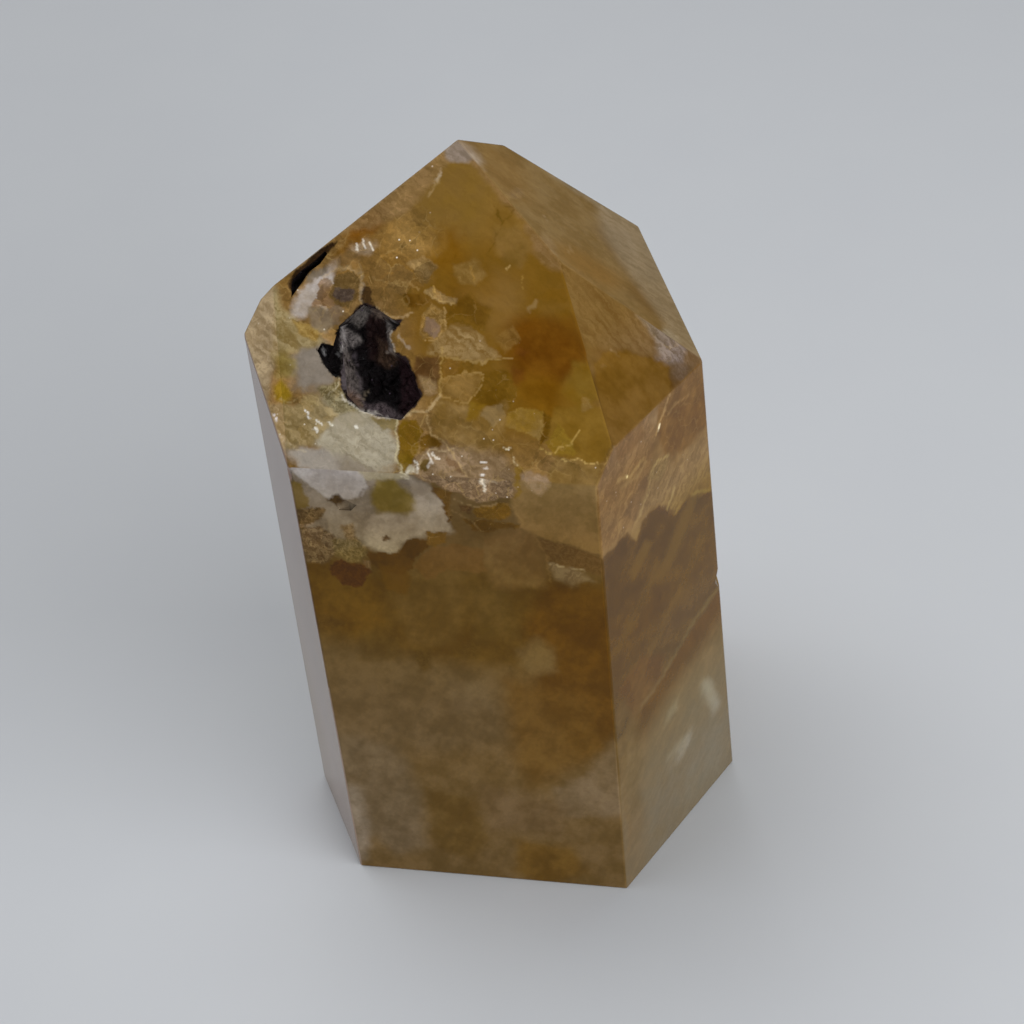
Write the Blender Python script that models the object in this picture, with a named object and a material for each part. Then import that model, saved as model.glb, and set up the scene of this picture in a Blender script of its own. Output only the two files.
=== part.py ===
"""A golden healer quartz tower: one natural crystal, ground to six sides and a point, and polished.

Units are metres and +Z is up. The tower stands on its flat base, with the origin at the base's middle and
its widest side facing -Y. Run it with: blender --background --python part.py
"""

import math
import random

import bmesh
import bpy
from mathutils import Matrix, Vector
from mathutils.geometry import delaunay_2d_cdt

MM = 0.001

# The block that the facets are ground from.
BLOCK_WIDTH = 80 * MM
BLOCK_HEIGHT = 100 * MM

# Each facet is a plane: the way it faces (degrees round Z, from +X), how far it leans back from upright
# (degrees), and its distance from the origin (mm).
SIDES = {
    "front": (-89.0, 0.8, 22.6),
    "right": (-23.0, 0.1, 23.0),
    "back_right": (27.4, 1.7, 21.8),
    "back": (90.5, 0.8, 22.7),
    "back_left": (144.6, 1.6, 15.1),
    "left": (211.1, 0.3, 25.9),
}
POINT_FACES = {
    "front_slope": (-88.2, 49.3, 59.4),
    "right_slope": (-22.6, 44.4, 59.7),
    "back_right_slope": (15.3, 47.6, 60.7),
    "back_slope": (73.0, 33.2, 52.5),
    "back_left_slope": (137.4, 23.4, 37.9),
    "left_slope": (243.7, 42.0, 60.2),
}
FACETS = SIDES | POINT_FACES

# Corners closer than this are one corner, as polishing leaves them.
SMALLEST_EDGE = 0.9 * MM
EDGE_ROUNDING = 0.22 * MM
EDGE_STEPS = 2

# Hollows where softer or darker mineral broke out of the polish. Each lies on a facet, at (across, up) from
# the foot of the perpendicular from the origin to it, in mm. Its outline is round that middle, in mm too.
HOLLOWS = {
    "vug": {
        "facet": "front_slope",
        "middle": (-8.5, 34.1),
        "outline": [
            (-2.2, 6.0), (-4.7, 3.7), (-3.9, 0.6), (-3.1, -3.6), (-1.5, -5.2), (1.2, -5.8), (2.8, -6.0),
            (4.7, -3.5), (3.6, -1.0), (2.9, 0.1), (1.4, 1.1), (0.6, 3.2), (1.9, 4.1), (-0.5, 5.5),
        ],
        "depth": 2.4,
        "rim": 0.6,
        "grain": 0.7,
        "seed": 3,
    },
    "black_patch": {
        "facet": "front_slope",
        "middle": (-13.8, 34.9),
        "outline": [
            (-1.5, 0.3), (-1.1, 1.0), (0.2, 0.8), (0.4, 2.2), (0.9, 2.6), (1.2, 1.5), (1.3, 0.0), (1.5, -1.5),
            (0.8, -2.6), (-0.4, -1.5),
        ],
        "depth": 0.6,
        "rim": 0.3,
        "grain": 0.6,
        "seed": 5,
    },
    "ridge_slit": {
        "facet": "front_slope",
        "middle": (-17.0, 43.6),
        "outline": [
            (-1.7, -0.9), (-0.8, 0.0), (0.4, 1.1), (1.6, 2.2), (1.9, 1.9), (1.2, 0.8), (0.1, -0.1), (-0.7, -1.5),
            (-1.6, -2.9), (-1.7, -1.6),
        ],
        "depth": 1.0,
        "rim": 0.4,
        "grain": 0.7,
        "seed": 11,
    },
    "front_pit": {
        "facet": "front",
        "middle": (-11.3, 54.9),
        "outline": [(-1.1, 0.2), (0.0, 0.7), (1.1, 0.1), (0.4, -0.7), (-0.9, -0.7)],
        "depth": 0.6,
        "rim": 0.2,
        "grain": 0.5,
        "seed": 13,
    },
}
CUTTER_RISE = 1.0 * MM

# Chips knocked out of the edges: a point on the edge (mm), the outward direction there, the radius of the
# shell-like break, and how deep it bites (mm).
CHIPS = [
    ((24.2, -1.6, 30.6), (1.0, 0.05, 0.0), 2.6, 0.45),
    ((-17.4, -20.5, 62.8), (-0.75, -0.55, 0.35), 1.7, 0.35),
    ((-16.6, -22.0, 58.6), (-0.6, -0.8, 0.0), 1.9, 0.35),
]
CHIP_ROUGHNESS = 0.12


def facet_frame(name):
    """The facet's plane as a matrix: X runs across it, Y up it, and Z out of it."""
    turn, lean, distance = FACETS[name]
    turn = math.radians(turn)
    lean = math.radians(lean)
    out = Vector((math.cos(lean) * math.cos(turn), math.cos(lean) * math.sin(turn), math.sin(lean)))
    across = Vector((0, 0, 1)).cross(out).normalized()
    up = out.cross(across)
    axes = Matrix((across, up, out)).transposed()
    return Matrix.Translation(out * distance * MM) @ axes.to_4x4()


def ground_block():
    """A block on the floor, cut back to each facet's plane, with its edges slightly rounded."""
    mesh = bmesh.new()
    size = Matrix.Diagonal((BLOCK_WIDTH, BLOCK_WIDTH, BLOCK_HEIGHT, 1))
    bmesh.ops.create_cube(mesh, size=1, matrix=Matrix.Translation((0, 0, BLOCK_HEIGHT / 2)) @ size)
    for name in FACETS:
        frame = facet_frame(name)
        everything = mesh.verts[:] + mesh.edges[:] + mesh.faces[:]
        cut = bmesh.ops.bisect_plane(
            mesh, geom=everything, plane_co=frame.translation, plane_no=frame.col[2].to_3d(), clear_outer=True
        )
        rim = [item for item in cut["geom_cut"] if isinstance(item, bmesh.types.BMEdge)]
        bmesh.ops.contextual_create(mesh, geom=rim)
    bmesh.ops.remove_doubles(mesh, verts=mesh.verts, dist=SMALLEST_EDGE)
    bmesh.ops.recalc_face_normals(mesh, faces=mesh.faces)
    bmesh.ops.bevel(
        mesh, geom=mesh.edges[:], offset=EDGE_ROUNDING, segments=EDGE_STEPS, profile=0.5, affect="EDGES",
        clamp_overlap=True,
    )
    return mesh


def inside(point, outline):
    """Whether a 2-D point lies within a closed outline."""
    within = False
    for (x0, y0), (x1, y1) in zip(outline, outline[1:] + outline[:1]):
        if (y0 > point[1]) != (y1 > point[1]) and point[0] < (x1 - x0) * (point[1] - y0) / (y1 - y0) + x0:
            within = not within
    return within


def to_outline(point, outline):
    """The distance from a 2-D point to the nearest side of an outline."""
    nearest = math.inf
    for start, end in zip(outline, outline[1:] + outline[:1]):
        side = Vector(end) - Vector(start)
        along = (Vector(point) - Vector(start)).dot(side) / side.length_squared
        foot = Vector(start) + side * min(max(along, 0), 1)
        nearest = min(nearest, (Vector(point) - foot).length)
    return nearest


def broken_floor(outline, depth, rim, grain, seed):
    """(points, triangles, count of outline points) of a hollow's rough floor, deepest away from its outline."""
    chance = random.Random(seed)
    flat = [Vector(corner) for corner in outline]
    xs = [corner[0] for corner in outline]
    ys = [corner[1] for corner in outline]
    steps_x = int((max(xs) - min(xs)) / grain) + 1
    steps_y = int((max(ys) - min(ys)) / grain) + 1
    for column in range(steps_x):
        for row in range(steps_y):
            x = min(xs) + (column + chance.uniform(0.2, 0.8)) * grain
            y = min(ys) + (row + chance.uniform(0.2, 0.8)) * grain
            if inside((x, y), outline) and to_outline((x, y), outline) > 0.35 * grain:
                flat.append(Vector((x, y)))
    count = len(outline)
    sides = [(index, (index + 1) % count) for index in range(count)]
    flat, _, faces, *_ = delaunay_2d_cdt(flat, sides, [], 1, 1e-5)
    reach = max(to_outline(point, outline) for point in flat[count:])
    points = []
    for index, point in enumerate(flat):
        bowl = 0 if index < count else (to_outline(point, outline) / reach) ** 0.7
        rough = chance.uniform(0.75, 1.15)
        points.append((point.x, point.y, -(rim + (depth - rim) * bowl) * rough))
    return points, faces, count


def hollow_cutter(name, facet, middle, outline, depth, rim, grain, seed):
    """A closed plug with a flat top above the facet and a rough underside, which the hollow is cut with."""
    points, faces, count = broken_floor(outline, depth, rim, grain, seed)
    mesh = bmesh.new()
    floor = [mesh.verts.new(Vector(point) * MM) for point in points]
    top = [mesh.verts.new((corner[0] * MM, corner[1] * MM, CUTTER_RISE)) for corner in outline]
    for face in faces:
        mesh.faces.new([floor[index] for index in face])
    for index in range(count):
        after = (index + 1) % count
        mesh.faces.new((floor[index], floor[after], top[after], top[index]))
    mesh.faces.new(top)
    bmesh.ops.recalc_face_normals(mesh, faces=mesh.faces)
    place = facet_frame(facet) @ Matrix.Translation((middle[0] * MM, middle[1] * MM, 0))
    bmesh.ops.transform(mesh, matrix=place, verts=mesh.verts)
    return as_object(name + "_cutter", mesh)


def chip_cutter(index, spot, outward, radius, bite):
    """A slightly lumpy ball that takes one shell-like chip out of an edge."""
    chance = random.Random(index)
    mesh = bmesh.new()
    bmesh.ops.create_icosphere(mesh, subdivisions=2, radius=radius * MM)
    for corner in mesh.verts:
        corner.co *= 1 + chance.uniform(-CHIP_ROUGHNESS, CHIP_ROUGHNESS)
    middle = Vector(spot) + Vector(outward).normalized() * (radius - bite)
    bmesh.ops.translate(mesh, vec=middle * MM, verts=mesh.verts)
    return as_object(f"chip_{index + 1}_cutter", mesh)


def as_object(name, mesh):
    """A bmesh as a new object in the scene."""
    data = bpy.data.meshes.new(name)
    mesh.to_mesh(data)
    mesh.free()
    made = bpy.data.objects.new(name, data)
    bpy.context.scene.collection.objects.link(made)
    return made


def cut_away(body, cutter):
    """Takes the cutter's shape out of the body, and keeps the cutter as a hidden guide."""
    cutter.hide_render = True
    cutter.display_type = "WIRE"
    cut = body.modifiers.new(cutter.name, "BOOLEAN")
    cut.operation = "DIFFERENCE"
    cut.solver = "EXACT"
    cut.object = cutter


def golden_quartz():
    """Polished iron-stained quartz: golden brown, glossy and partly see-through."""
    material = bpy.data.materials.new("golden healer quartz")
    material.use_nodes = True
    shader = material.node_tree.nodes["Principled BSDF"]
    shader.inputs["Base Color"].default_value = (0.28, 0.16, 0.05, 1)
    shader.inputs["Metallic"].default_value = 0
    shader.inputs["Roughness"].default_value = 0.08
    shader.inputs["IOR"].default_value = 1.544
    shader.inputs["Transmission Weight"].default_value = 0.4
    return material


def clear_scene():
    for old in list(bpy.data.objects):
        bpy.data.objects.remove(old)


def main():
    clear_scene()
    tower = as_object("quartz_tower", ground_block())
    tower.data.materials.append(golden_quartz())
    for name, hollow in HOLLOWS.items():
        cut_away(tower, hollow_cutter(name, **hollow))
    for index, chip in enumerate(CHIPS):
        cut_away(tower, chip_cutter(index, *chip))


main()
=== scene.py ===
"""Looks of the golden healer quartz tower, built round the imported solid.

Materials work in millimetres on Object coordinates. Markings lie on the tower's ground facets, and are given
as (across, up) in mm from the foot of the perpendicular from the origin to that facet.
"""

import math

import bmesh
import bpy
import numpy as np
from mathutils import Matrix, Vector, kdtree, noise
from mathutils.geometry import delaunay_2d_cdt

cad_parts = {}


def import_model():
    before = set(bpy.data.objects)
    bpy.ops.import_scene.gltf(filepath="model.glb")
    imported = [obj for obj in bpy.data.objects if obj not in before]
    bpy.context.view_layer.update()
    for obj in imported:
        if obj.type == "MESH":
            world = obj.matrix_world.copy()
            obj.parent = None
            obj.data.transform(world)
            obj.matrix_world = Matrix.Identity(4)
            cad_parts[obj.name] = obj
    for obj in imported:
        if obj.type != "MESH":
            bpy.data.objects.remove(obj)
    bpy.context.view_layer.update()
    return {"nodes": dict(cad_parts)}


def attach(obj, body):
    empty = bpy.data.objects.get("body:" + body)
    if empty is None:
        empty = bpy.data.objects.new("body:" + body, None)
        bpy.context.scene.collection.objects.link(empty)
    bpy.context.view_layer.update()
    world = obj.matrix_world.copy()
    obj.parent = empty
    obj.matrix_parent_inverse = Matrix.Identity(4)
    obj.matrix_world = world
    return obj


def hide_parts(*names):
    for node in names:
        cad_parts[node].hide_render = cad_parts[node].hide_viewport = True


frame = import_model()

# The ragged outlines are drawn from this number, and so are the same on each run.
SEED = 21
noise.seed_set(SEED)

MM = 0.001

# The facets that carry markings: the way each faces (degrees round Z from +X), how far it leans back from
# upright (degrees) and its distance from the origin (mm).
FACETS = {
    "front": (-89.0, 0.8, 22.6),
    "right": (-23.0, 0.1, 23.0),
    "back_right": (27.4, 1.7, 21.8),
    "back": (90.5, 0.8, 22.7),
    "back_left": (144.6, 1.6, 15.1),
    "left": (211.1, 0.3, 25.9),
    "front_slope": (-88.2, 49.3, 59.4),
    "right_slope": (-22.6, 44.4, 59.7),
    "back_right_slope": (15.3, 47.6, 60.7),
    "back_slope": (73.0, 33.2, 52.5),
    "back_left_slope": (137.4, 23.4, 37.9),
    "left_slope": (243.7, 42.0, 60.2),
}

# How far apart the points on each facet are (mm), from each height up the facet (mm).
SPACING = {
    "front": {-99: 0.62, 28: 0.42, 43: 0.25},
    "right": {-99: 0.62, 30: 0.45, 43: 0.3},
    "back_right": {-99: 0.75},
    "back": {-99: 0.75},
    "back_left": {-99: 0.75},
    "left": {-99: 0.62},
    "front_slope": {-99: 0.185},
    "right_slope": {-99: 0.3},
    "back_right_slope": {-99: 0.36},
    "back_slope": {-99: 0.42},
    "back_left_slope": {-99: 0.42},
    "left_slope": {-99: 0.26},
}
# The same on broken ground and rounded edges.
BROKEN_SPACING = 0.4
# An inner point stays this share of the spacing away from the rim, and an edge is cut while the piece that
# comes off is at most this share of what is left.
RIM_GAP = 0.6
LARGEST_CUT = 0.7
# Corners closer than this are one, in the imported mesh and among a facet's points (mm).
MERGED = 0.001
FACET_MERGED = 1e-6
# What delaunay_2d_cdt gives: only the triangles within the rim's hull.
WITHIN_HULL = 1

# What a marking does to the stone beside its colour: how cracked, how grainy and how clear it is.
FEELS = {
    "clear": (0.0, 0.05, 1.0),
    "glassy": (0.5, 0.15, 0.7),
    "cracked": (1.0, 0.5, 0.25),
    "grainy": (0.45, 1.0, 0.05),
    "milky": (0.1, 0.22, 0.1),
    "soft": (0.0, 0.1, 0.5),
    "hazy": (0.22, 0.12, 0.35),
}

# A look is two sRGB hex colours, the field that mixes them and a feel.
BARE_STONE = "6E5426 8A7350 cloud soft"

# Blotches are ellipses: the look and the flow that bends the outline, how wide the edge fades as a share of
# the size, how strong it is, the middle (mm), the half sizes (mm) and the turn (degrees).
BLOTCHES = {
    "front": [
        ("5F4A26 6B5636 cloud soft still", 0.1, 1, 0, 30, 60, 60, 0),
    ],
    "right": [
        ("4C3204 523708 cloud soft soft", 0.1, 1, 0, 30, 60, 60, 0),
        ("5E492A 655035 cloud soft still", 0.12, 1, -1, 0, 50, 21, 20),
        ("665A46 5F513A cloud soft soft", 0.5, 1, 2, 2, 20, 16, 0),
        ("5C4826 645136 cloud soft soft", 0.6, 0.8, -12.4, 14, 3, 12, 0),
        ("7C7468 6C6252 streak milky soft", 0.6, 0.9, 4.9, 14.6, 1, 3, 28),
        ("7A7266 6B6150 cloud milky soft", 0.6, 0.9, -1.6, 12.3, 2.2, 1.1, 10),
        ("6B6250 665B48 cloud soft soft", 0.7, 0.7, 4, 5, 6, 5, 0),
        ("644820 6E532E cell cracked angular", 0.2, 1, -4, 61, 16, 12.5, 10),
        ("705A3A 7C684A streak milky ragged", 0.3, 1, 3.6, 49.6, 5, 3.4, -30),
        ("634720 705634 cloud soft ragged", 0.5, 0.9, -12.6, 54.5, 2, 6.5, 0),
        ("4A2C04 513408 cloud soft angular", 0.35, 1, -9.6, 47, 5, 3.4, 0),
        ("4F3204 583C0C cloud soft angular", 0.4, 0.95, -3.4, 47.6, 3.2, 2, -24),
        ("3C2002 4C3006 grain soft ragged", 0.4, 0.9, -1, 45.4, 1.4, 0.7, -30),
        ("665030 56400E streak soft ragged", 0.6, 0.85, 2, 44, 3.8, 0.7, 34),
        ("6A5434 57400F streak soft soft", 0.6, 0.7, -3.6, 27.4, 2, 0.4, -30),
        ("6A5436 5C4622 cloud soft soft", 0.7, 0.6, -14, 30, 0.4, 30, 0),
    ],
    "back_right": [
        ("6C5226 786138 cloud soft ragged", 0.1, 1, 0, 34, 60, 60, 0),
        ("5F4206 6A4C14 cloud clear angular", 0.4, 0.9, 0, 52, 9, 6, 20),
        ("806C4E 8E7C60 streak milky ragged", 0.8, 0.8, 3, 36, 5, 10, -30),
        ("5A3E0A 684A18 cell cracked angular", 0.9, 0.7, -5, 40, 3, 5, 0),
        ("70603E 7C6C4C cloud soft soft", 0.9, 0.8, -3, 14, 8, 10, 0),
        ("C2B290 8E754A cell cracked angular", 0.8, 0.6, 5, 58, 2.4, 0.9, 30),
        ("A39070 7C6640 grain soft ragged", 0.5, 0.8, 2, 24, 0.12, 7, 36),
    ],
    "back": [
        ("755A28 7F673C cloud soft ragged", 0.1, 1, 0, 34, 60, 60, 0),
        ("664708 5D4008 cloud clear soft", 0.5, 0.9, 4, 48, 9, 8, 30),
        ("806842 8C7858 cloud cracked ragged", 0.9, 0.7, -7, 34, 7, 10, -20),
        ("9A8C76 8C8070 streak milky ragged", 0.8, 0.8, 6, 22, 8, 9, 10),
        ("5F4410 6C5220 cloud clear soft", 0.5, 0.9, -8, 12, 6, 8, 0),
        ("4E3410 60441A grain glassy angular", 0.9, 0.6, -4, 55, 2.4, 1.6, 0),
        ("B2A27E 8C7448 grain cracked ragged", 0.5, 0.8, 2, 38, 0.12, 9, -24),
        ("A8966E 86703E grain cracked ragged", 0.5, 0.8, -1, 30, 8, 0.12, 16),
    ],
    "back_left": [
        ("8A744E 9A8664 cloud grainy ragged", 0.1, 1, 6, 38, 60, 60, 0),
        ("9C8C70 AC9E88 cloud milky ragged", 0.7, 0.8, 10, 50, 12, 10, 20),
        ("6E521C 7C6230 cloud clear soft", 0.5, 0.9, 8, 26, 9, 14, -20),
        ("6A4310 7E5A22 grain cracked ragged", 1, 0.6, 16, 38, 3, 7, 10),
        ("5E4A30 6E5A40 grain glassy angular", 1, 0.6, 4, 60, 3.5, 2.2, 30),
        ("8C7E68 9A8C76 streak milky ragged", 0.8, 0.7, 12, 10, 9, 7, 0),
    ],
    "left": [
        # Pale lilac-grey with faint upright streaks: partly the back end of the milk in the quartz, and
        # partly a painted reflection of the pale paper, which this facet shows at a glancing angle.
        ("A69E9A 98908E streak milky soft", 0.1, 1, 0, 34, 60, 60, 0),
        ("8E8482 A49B98 streak milky ragged", 0.7, 0.7, 4, 40, 1.6, 26, 0),
        ("8C7C6A 9A8E80 streak soft soft", 0.7, 0.6, 9, 20, 1.6, 24, 3),
        ("8C7A5E 9A8A74 cloud soft soft", 0.8, 0.8, -4, 12, 5, 12, 0),
        ("4C3010 6A4C20 grain soft ragged", 0.5, 0.9, 8.4, 57.4, 0.5, 0.25, -60),
        ("5C3C14 7A5C30 grain soft ragged", 0.5, 0.9, 6.6, 60.6, 0.35, 0.2, -60),
        ("7E7470 8E8580 grain milky ragged", 0.5, 0.7, 5, 52, 0.25, 2.4, 4),
    ],
    "front_slope": [
        # Beige stone shot through with cracks, and the clear honey zone from the tip down to the right.
        ("7C5E30 8C6D42 cloud cracked soft", 0.1, 1, 0, 40, 40, 40, 0),
        ("785820 6C4C12 cloud clear ragged", 0.25, 1, 4.5, 40, 11, 15, 20),
        ("7E602C 785B24 cloud clear soft", 0.5, 1, -2, 52, 4.6, 5.6, 20),
        ("8A6A3C 80602F cloud soft soft", 0.6, 0.9, -9, 51.8, 4.5, 1.6, 42),
        ("734C08 7C5818 cloud clear ragged", 0.6, 0.9, -2.9, 46.3, 2.6, 2.3, -20),
        ("6B490E 745316 cloud clear soft", 0.6, 0.8, -0.6, 41.6, 1.6, 2.4, 0),
        ("7B5B20 866630 cloud clear soft", 0.6, 0.8, 4, 49.8, 3, 3.4, 30),
        ("6C4D10 74541A cloud clear soft", 0.6, 0.9, 5.6, 45, 3.6, 1.7, -32),
        ("81612F 7A5A26 cloud clear soft", 0.7, 0.9, 3.2, 40.4, 3, 3, 30),
        ("603706 683F0A cloud clear soft", 0.45, 1, 8.9, 36, 4.6, 3.4, -25),
        ("6A4406 755010 cloud clear soft", 0.5, 0.9, 9.6, 31, 4.2, 2.6, -30),
        ("7F5E20 765212 cloud clear soft", 0.5, 0.8, 13.4, 28.2, 2.2, 3.6, 15),
        ("8F7D69 A09182 cloud soft ragged", 0.5, 0.95, -1.6, 57.4, 2, 1.3, -8),
        # Upper left: fine cracked beige, an orange stain, a pale cluster of painted glints and a pale streak.
        ("846434 795824 cell cracked angular", 0.5, 0.9, -10, 45.8, 5, 3.8, 30),
        ("886832 8E6F3E cloud cracked ragged", 0.6, 0.8, -6, 47.6, 2.6, 2.4, 0),
        ("734405 82520E grain soft ragged", 0.6, 0.95, -11.2, 48.9, 2.4, 1.1, 44),
        ("6F4A16 7F5A20 grain soft ragged", 0.5, 0.8, -13, 46.2, 1.6, 0.5, 40),
        ("8E7252 B8A68E cloud cracked ragged", 0.8, 0.8, -11.4, 46.2, 1.3, 0.6, 12),
        ("8C6D3E 7A5926 cell cracked angular", 0.4, 0.8, -7, 43.6, 2.8, 1.8, 0),
        ("B08648 8A5E20 grain cracked ragged", 0.5, 0.8, -8.2, 43.4, 0.9, 0.16, 38),
        ("5E4416 6A4E1C cloud glassy angular", 0.3, 0.9, -5.9, 41, 1.4, 0.55, -8),
        ("664812 735220 cloud glassy angular", 0.3, 0.9, -4.5, 40.7, 1, 0.7, -20),
        ("8F7044 7E5E34 grain cracked ragged", 0.5, 0.8, -13.4, 44.6, 1.9, 0.7, 10),
        ("A0917F B4ABA6 cloud milky ragged", 0.35, 1, -16.3, 41.2, 3.5, 1, 54),
        ("6E6252 7C7060 cloud glassy ragged", 0.35, 0.9, -15.9, 43.4, 1.1, 0.5, 35),
        ("7E5E3C 8C6E50 cell cracked angular", 0.4, 0.85, -15, 41, 0.9, 1.6, 10),
        ("78634C 8A765E cell glassy angular", 0.4, 0.85, -14.4, 38.9, 1.5, 1.2, 0),
        ("D0BDA6 A08A70 grain cracked ragged", 0.5, 0.9, -15.2, 39.9, 0.5, 0.14, -40),
        ("9C8460 84693E grain cracked ragged", 0.4, 0.9, -11.3, 43.1, 0.2, 1.6, 12),
        ("9A8058 8A6C40 grain cracked ragged", 0.4, 0.85, -12.6, 43.9, 1.4, 0.22, -8),
        ("A79378 8A7252 grain cracked ragged", 0.35, 0.9, -10.8, 41.2, 0.24, 1.3, 14),
        # Lower left: yellow spots, grey milk, pale streaked quartz, and beige with painted glints on it.
        ("8E8376 786E62 cloud milky ragged", 0.35, 1, -15.5, 33.5, 2.5, 2.7, 10),
        ("B2A892 8A806A streak milky ragged", 0.16, 1, -10.4, 26, 5.2, 3.2, -28),
        ("A69A84 948A72 streak milky ragged", 0.3, 0.9, -12.4, 28.6, 3, 1.3, -24),
        ("8C867A 78726A cloud milky ragged", 0.4, 0.8, -11.6, 30, 1.4, 0.6, -30),
        ("A3998C 8E867C cloud milky ragged", 0.35, 1, -14.4, 23.6, 3.6, 1.2, -14),
        ("8C8070 7C705E streak milky ragged", 0.4, 0.9, -10, 22.6, 2.4, 1, -24),
        ("B0A68E C8C0AC grain milky ragged", 0.4, 0.9, -4.6, 23, 0.9, 0.5, 0),
        # Right of the vug: a net of pale cracks, granular patches and clear flakes with painted glints.
        ("7E664A 8E7964 cloud glassy ragged", 0.5, 0.9, -0.7, 24.4, 2.9, 1.4, 12),
        ("7A5A2C 856638 cloud soft soft", 0.4, 0.8, 12.2, 22.6, 3.4, 1.6, 0),
        ("594008 6B4E14 grain soft ragged", 0.5, 0.7, 2.9, 50.2, 0.2, 1, 30),
        ("D9C9AE A88E62 grain soft ragged", 0.5, 0.9, -3.9, 54.2, 0.16, 0.8, -32),
    ],
    "right_slope": [
        ("6B5124 735830 cloud clear soft", 0.1, 1, 0, 38, 40, 40, 0),
        ("664B1A 6C5226 cloud clear soft", 0.5, 0.9, 0.4, 38.4, 3.2, 3.4, 10),
        ("74582C 7C6238 cloud clear soft", 0.6, 0.8, -5, 38.5, 1.6, 9, -30),
        ("624819 684E24 cloud clear still", 0.12, 0.95, -3.6, 31.8, 6.6, 3.4, -8),
        ("593A08 604410 cloud clear soft", 0.5, 0.95, -2, 29.2, 5.4, 1.2, 0),
        ("71542B 7A5E38 cloud clear soft", 0.5, 0.85, 6, 37, 2.6, 5, 20),
        ("6B583C 786650 streak milky ragged", 0.4, 0.95, 5.4, 30, 3.4, 1.5, 20),
        ("76644E 92857A streak milky ragged", 0.3, 1, 3.9, 32.3, 2.4, 1.3, 36),
        ("D8CCB4 9A8458 grain clear ragged", 0.5, 0.9, -2.3, 35.3, 0.14, 0.8, 30),
        ("C8B89A 8E7448 grain clear ragged", 0.5, 0.9, -4.5, 35.2, 0.3, 0.25, 0),
        ("4E380C 5E4618 grain clear ragged", 0.5, 0.6, -0.4, 33.4, 2.4, 0.1, -40),
    ],
    "back_right_slope": [
        # Pale lilac-beige patches are partly milky quartz and partly a painted reflection of the bright
        # backdrop behind.
        ("795F36 7F6742 cloud soft soft", 0.1, 1, 0, 40, 40, 40, 0),
        ("7C5D2E 77582A cloud clear soft", 0.6, 0.85, -4, 40.5, 2.6, 5, 10),
        ("867666 7E6C58 cloud soft soft", 0.6, 0.95, 6.4, 31.6, 6.2, 4.6, -12),
        ("A39585 867666 streak milky ragged", 0.5, 0.95, 7.2, 33.2, 2.4, 0.6, 18),
        ("7B5D31 816438 cloud soft soft", 0.6, 0.8, 4.6, 51, 5, 4, 0),
        ("957F68 A39484 cloud soft ragged", 0.5, 0.95, 3.4, 55.6, 2.6, 1.8, -30),
        ("8E7350 7C6038 grain glassy ragged", 0.5, 0.7, 1.6, 49.4, 2, 0.5, -36),
        ("7F6F5B 938674 streak milky ragged", 0.4, 0.95, -8.6, 29.6, 2.8, 1.2, -10),
        ("755A34 6E5430 cloud soft soft", 0.6, 0.7, -3.4, 31, 2.6, 3, 0),
        ("856A46 927A5A cloud soft ragged", 0.5, 0.8, -4.8, 45.6, 2.2, 1, 0),
        ("A08868 806640 grain soft ragged", 0.5, 0.7, 0.8, 45.6, 0.9, 0.1, 30),
        ("9C8058 7C6034 grain soft ragged", 0.5, 0.6, -2.6, 42.6, 1.2, 0.1, 0),
    ],
    "back_slope": [
        ("7E6330 887044 cloud soft soft", 0.1, 1, 0, 50, 40, 40, 0),
        ("70511A 654609 cloud clear soft", 0.5, 0.9, 4, 52, 6, 4, 30),
        ("8E7D68 9A8C7C streak milky ragged", 0.5, 0.9, -6, 46, 5, 3, 20),
        ("A4906A 866C3C cell cracked angular", 0.4, 0.8, 8, 45, 3, 1.2, 0),
    ],
    "back_left_slope": [
        ("82652F 8F7444 cloud cracked ragged", 0.1, 1, 4, 66, 40, 40, 0),
        ("765819 6C4D12 cloud clear soft", 0.4, 0.9, 2, 70, 7, 4.5, -20),
        ("968670 A89A84 streak milky ragged", 0.7, 0.8, 13, 63, 6, 4, 20),
        ("6E4A10 5A3A0A grain glassy angular", 0.9, 0.7, 18, 60.5, 2.4, 2, 0),
        ("A8946E 8A7042 cell cracked angular", 0.4, 0.8, -8, 66, 3.5, 1, 30),
    ],
}

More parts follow.
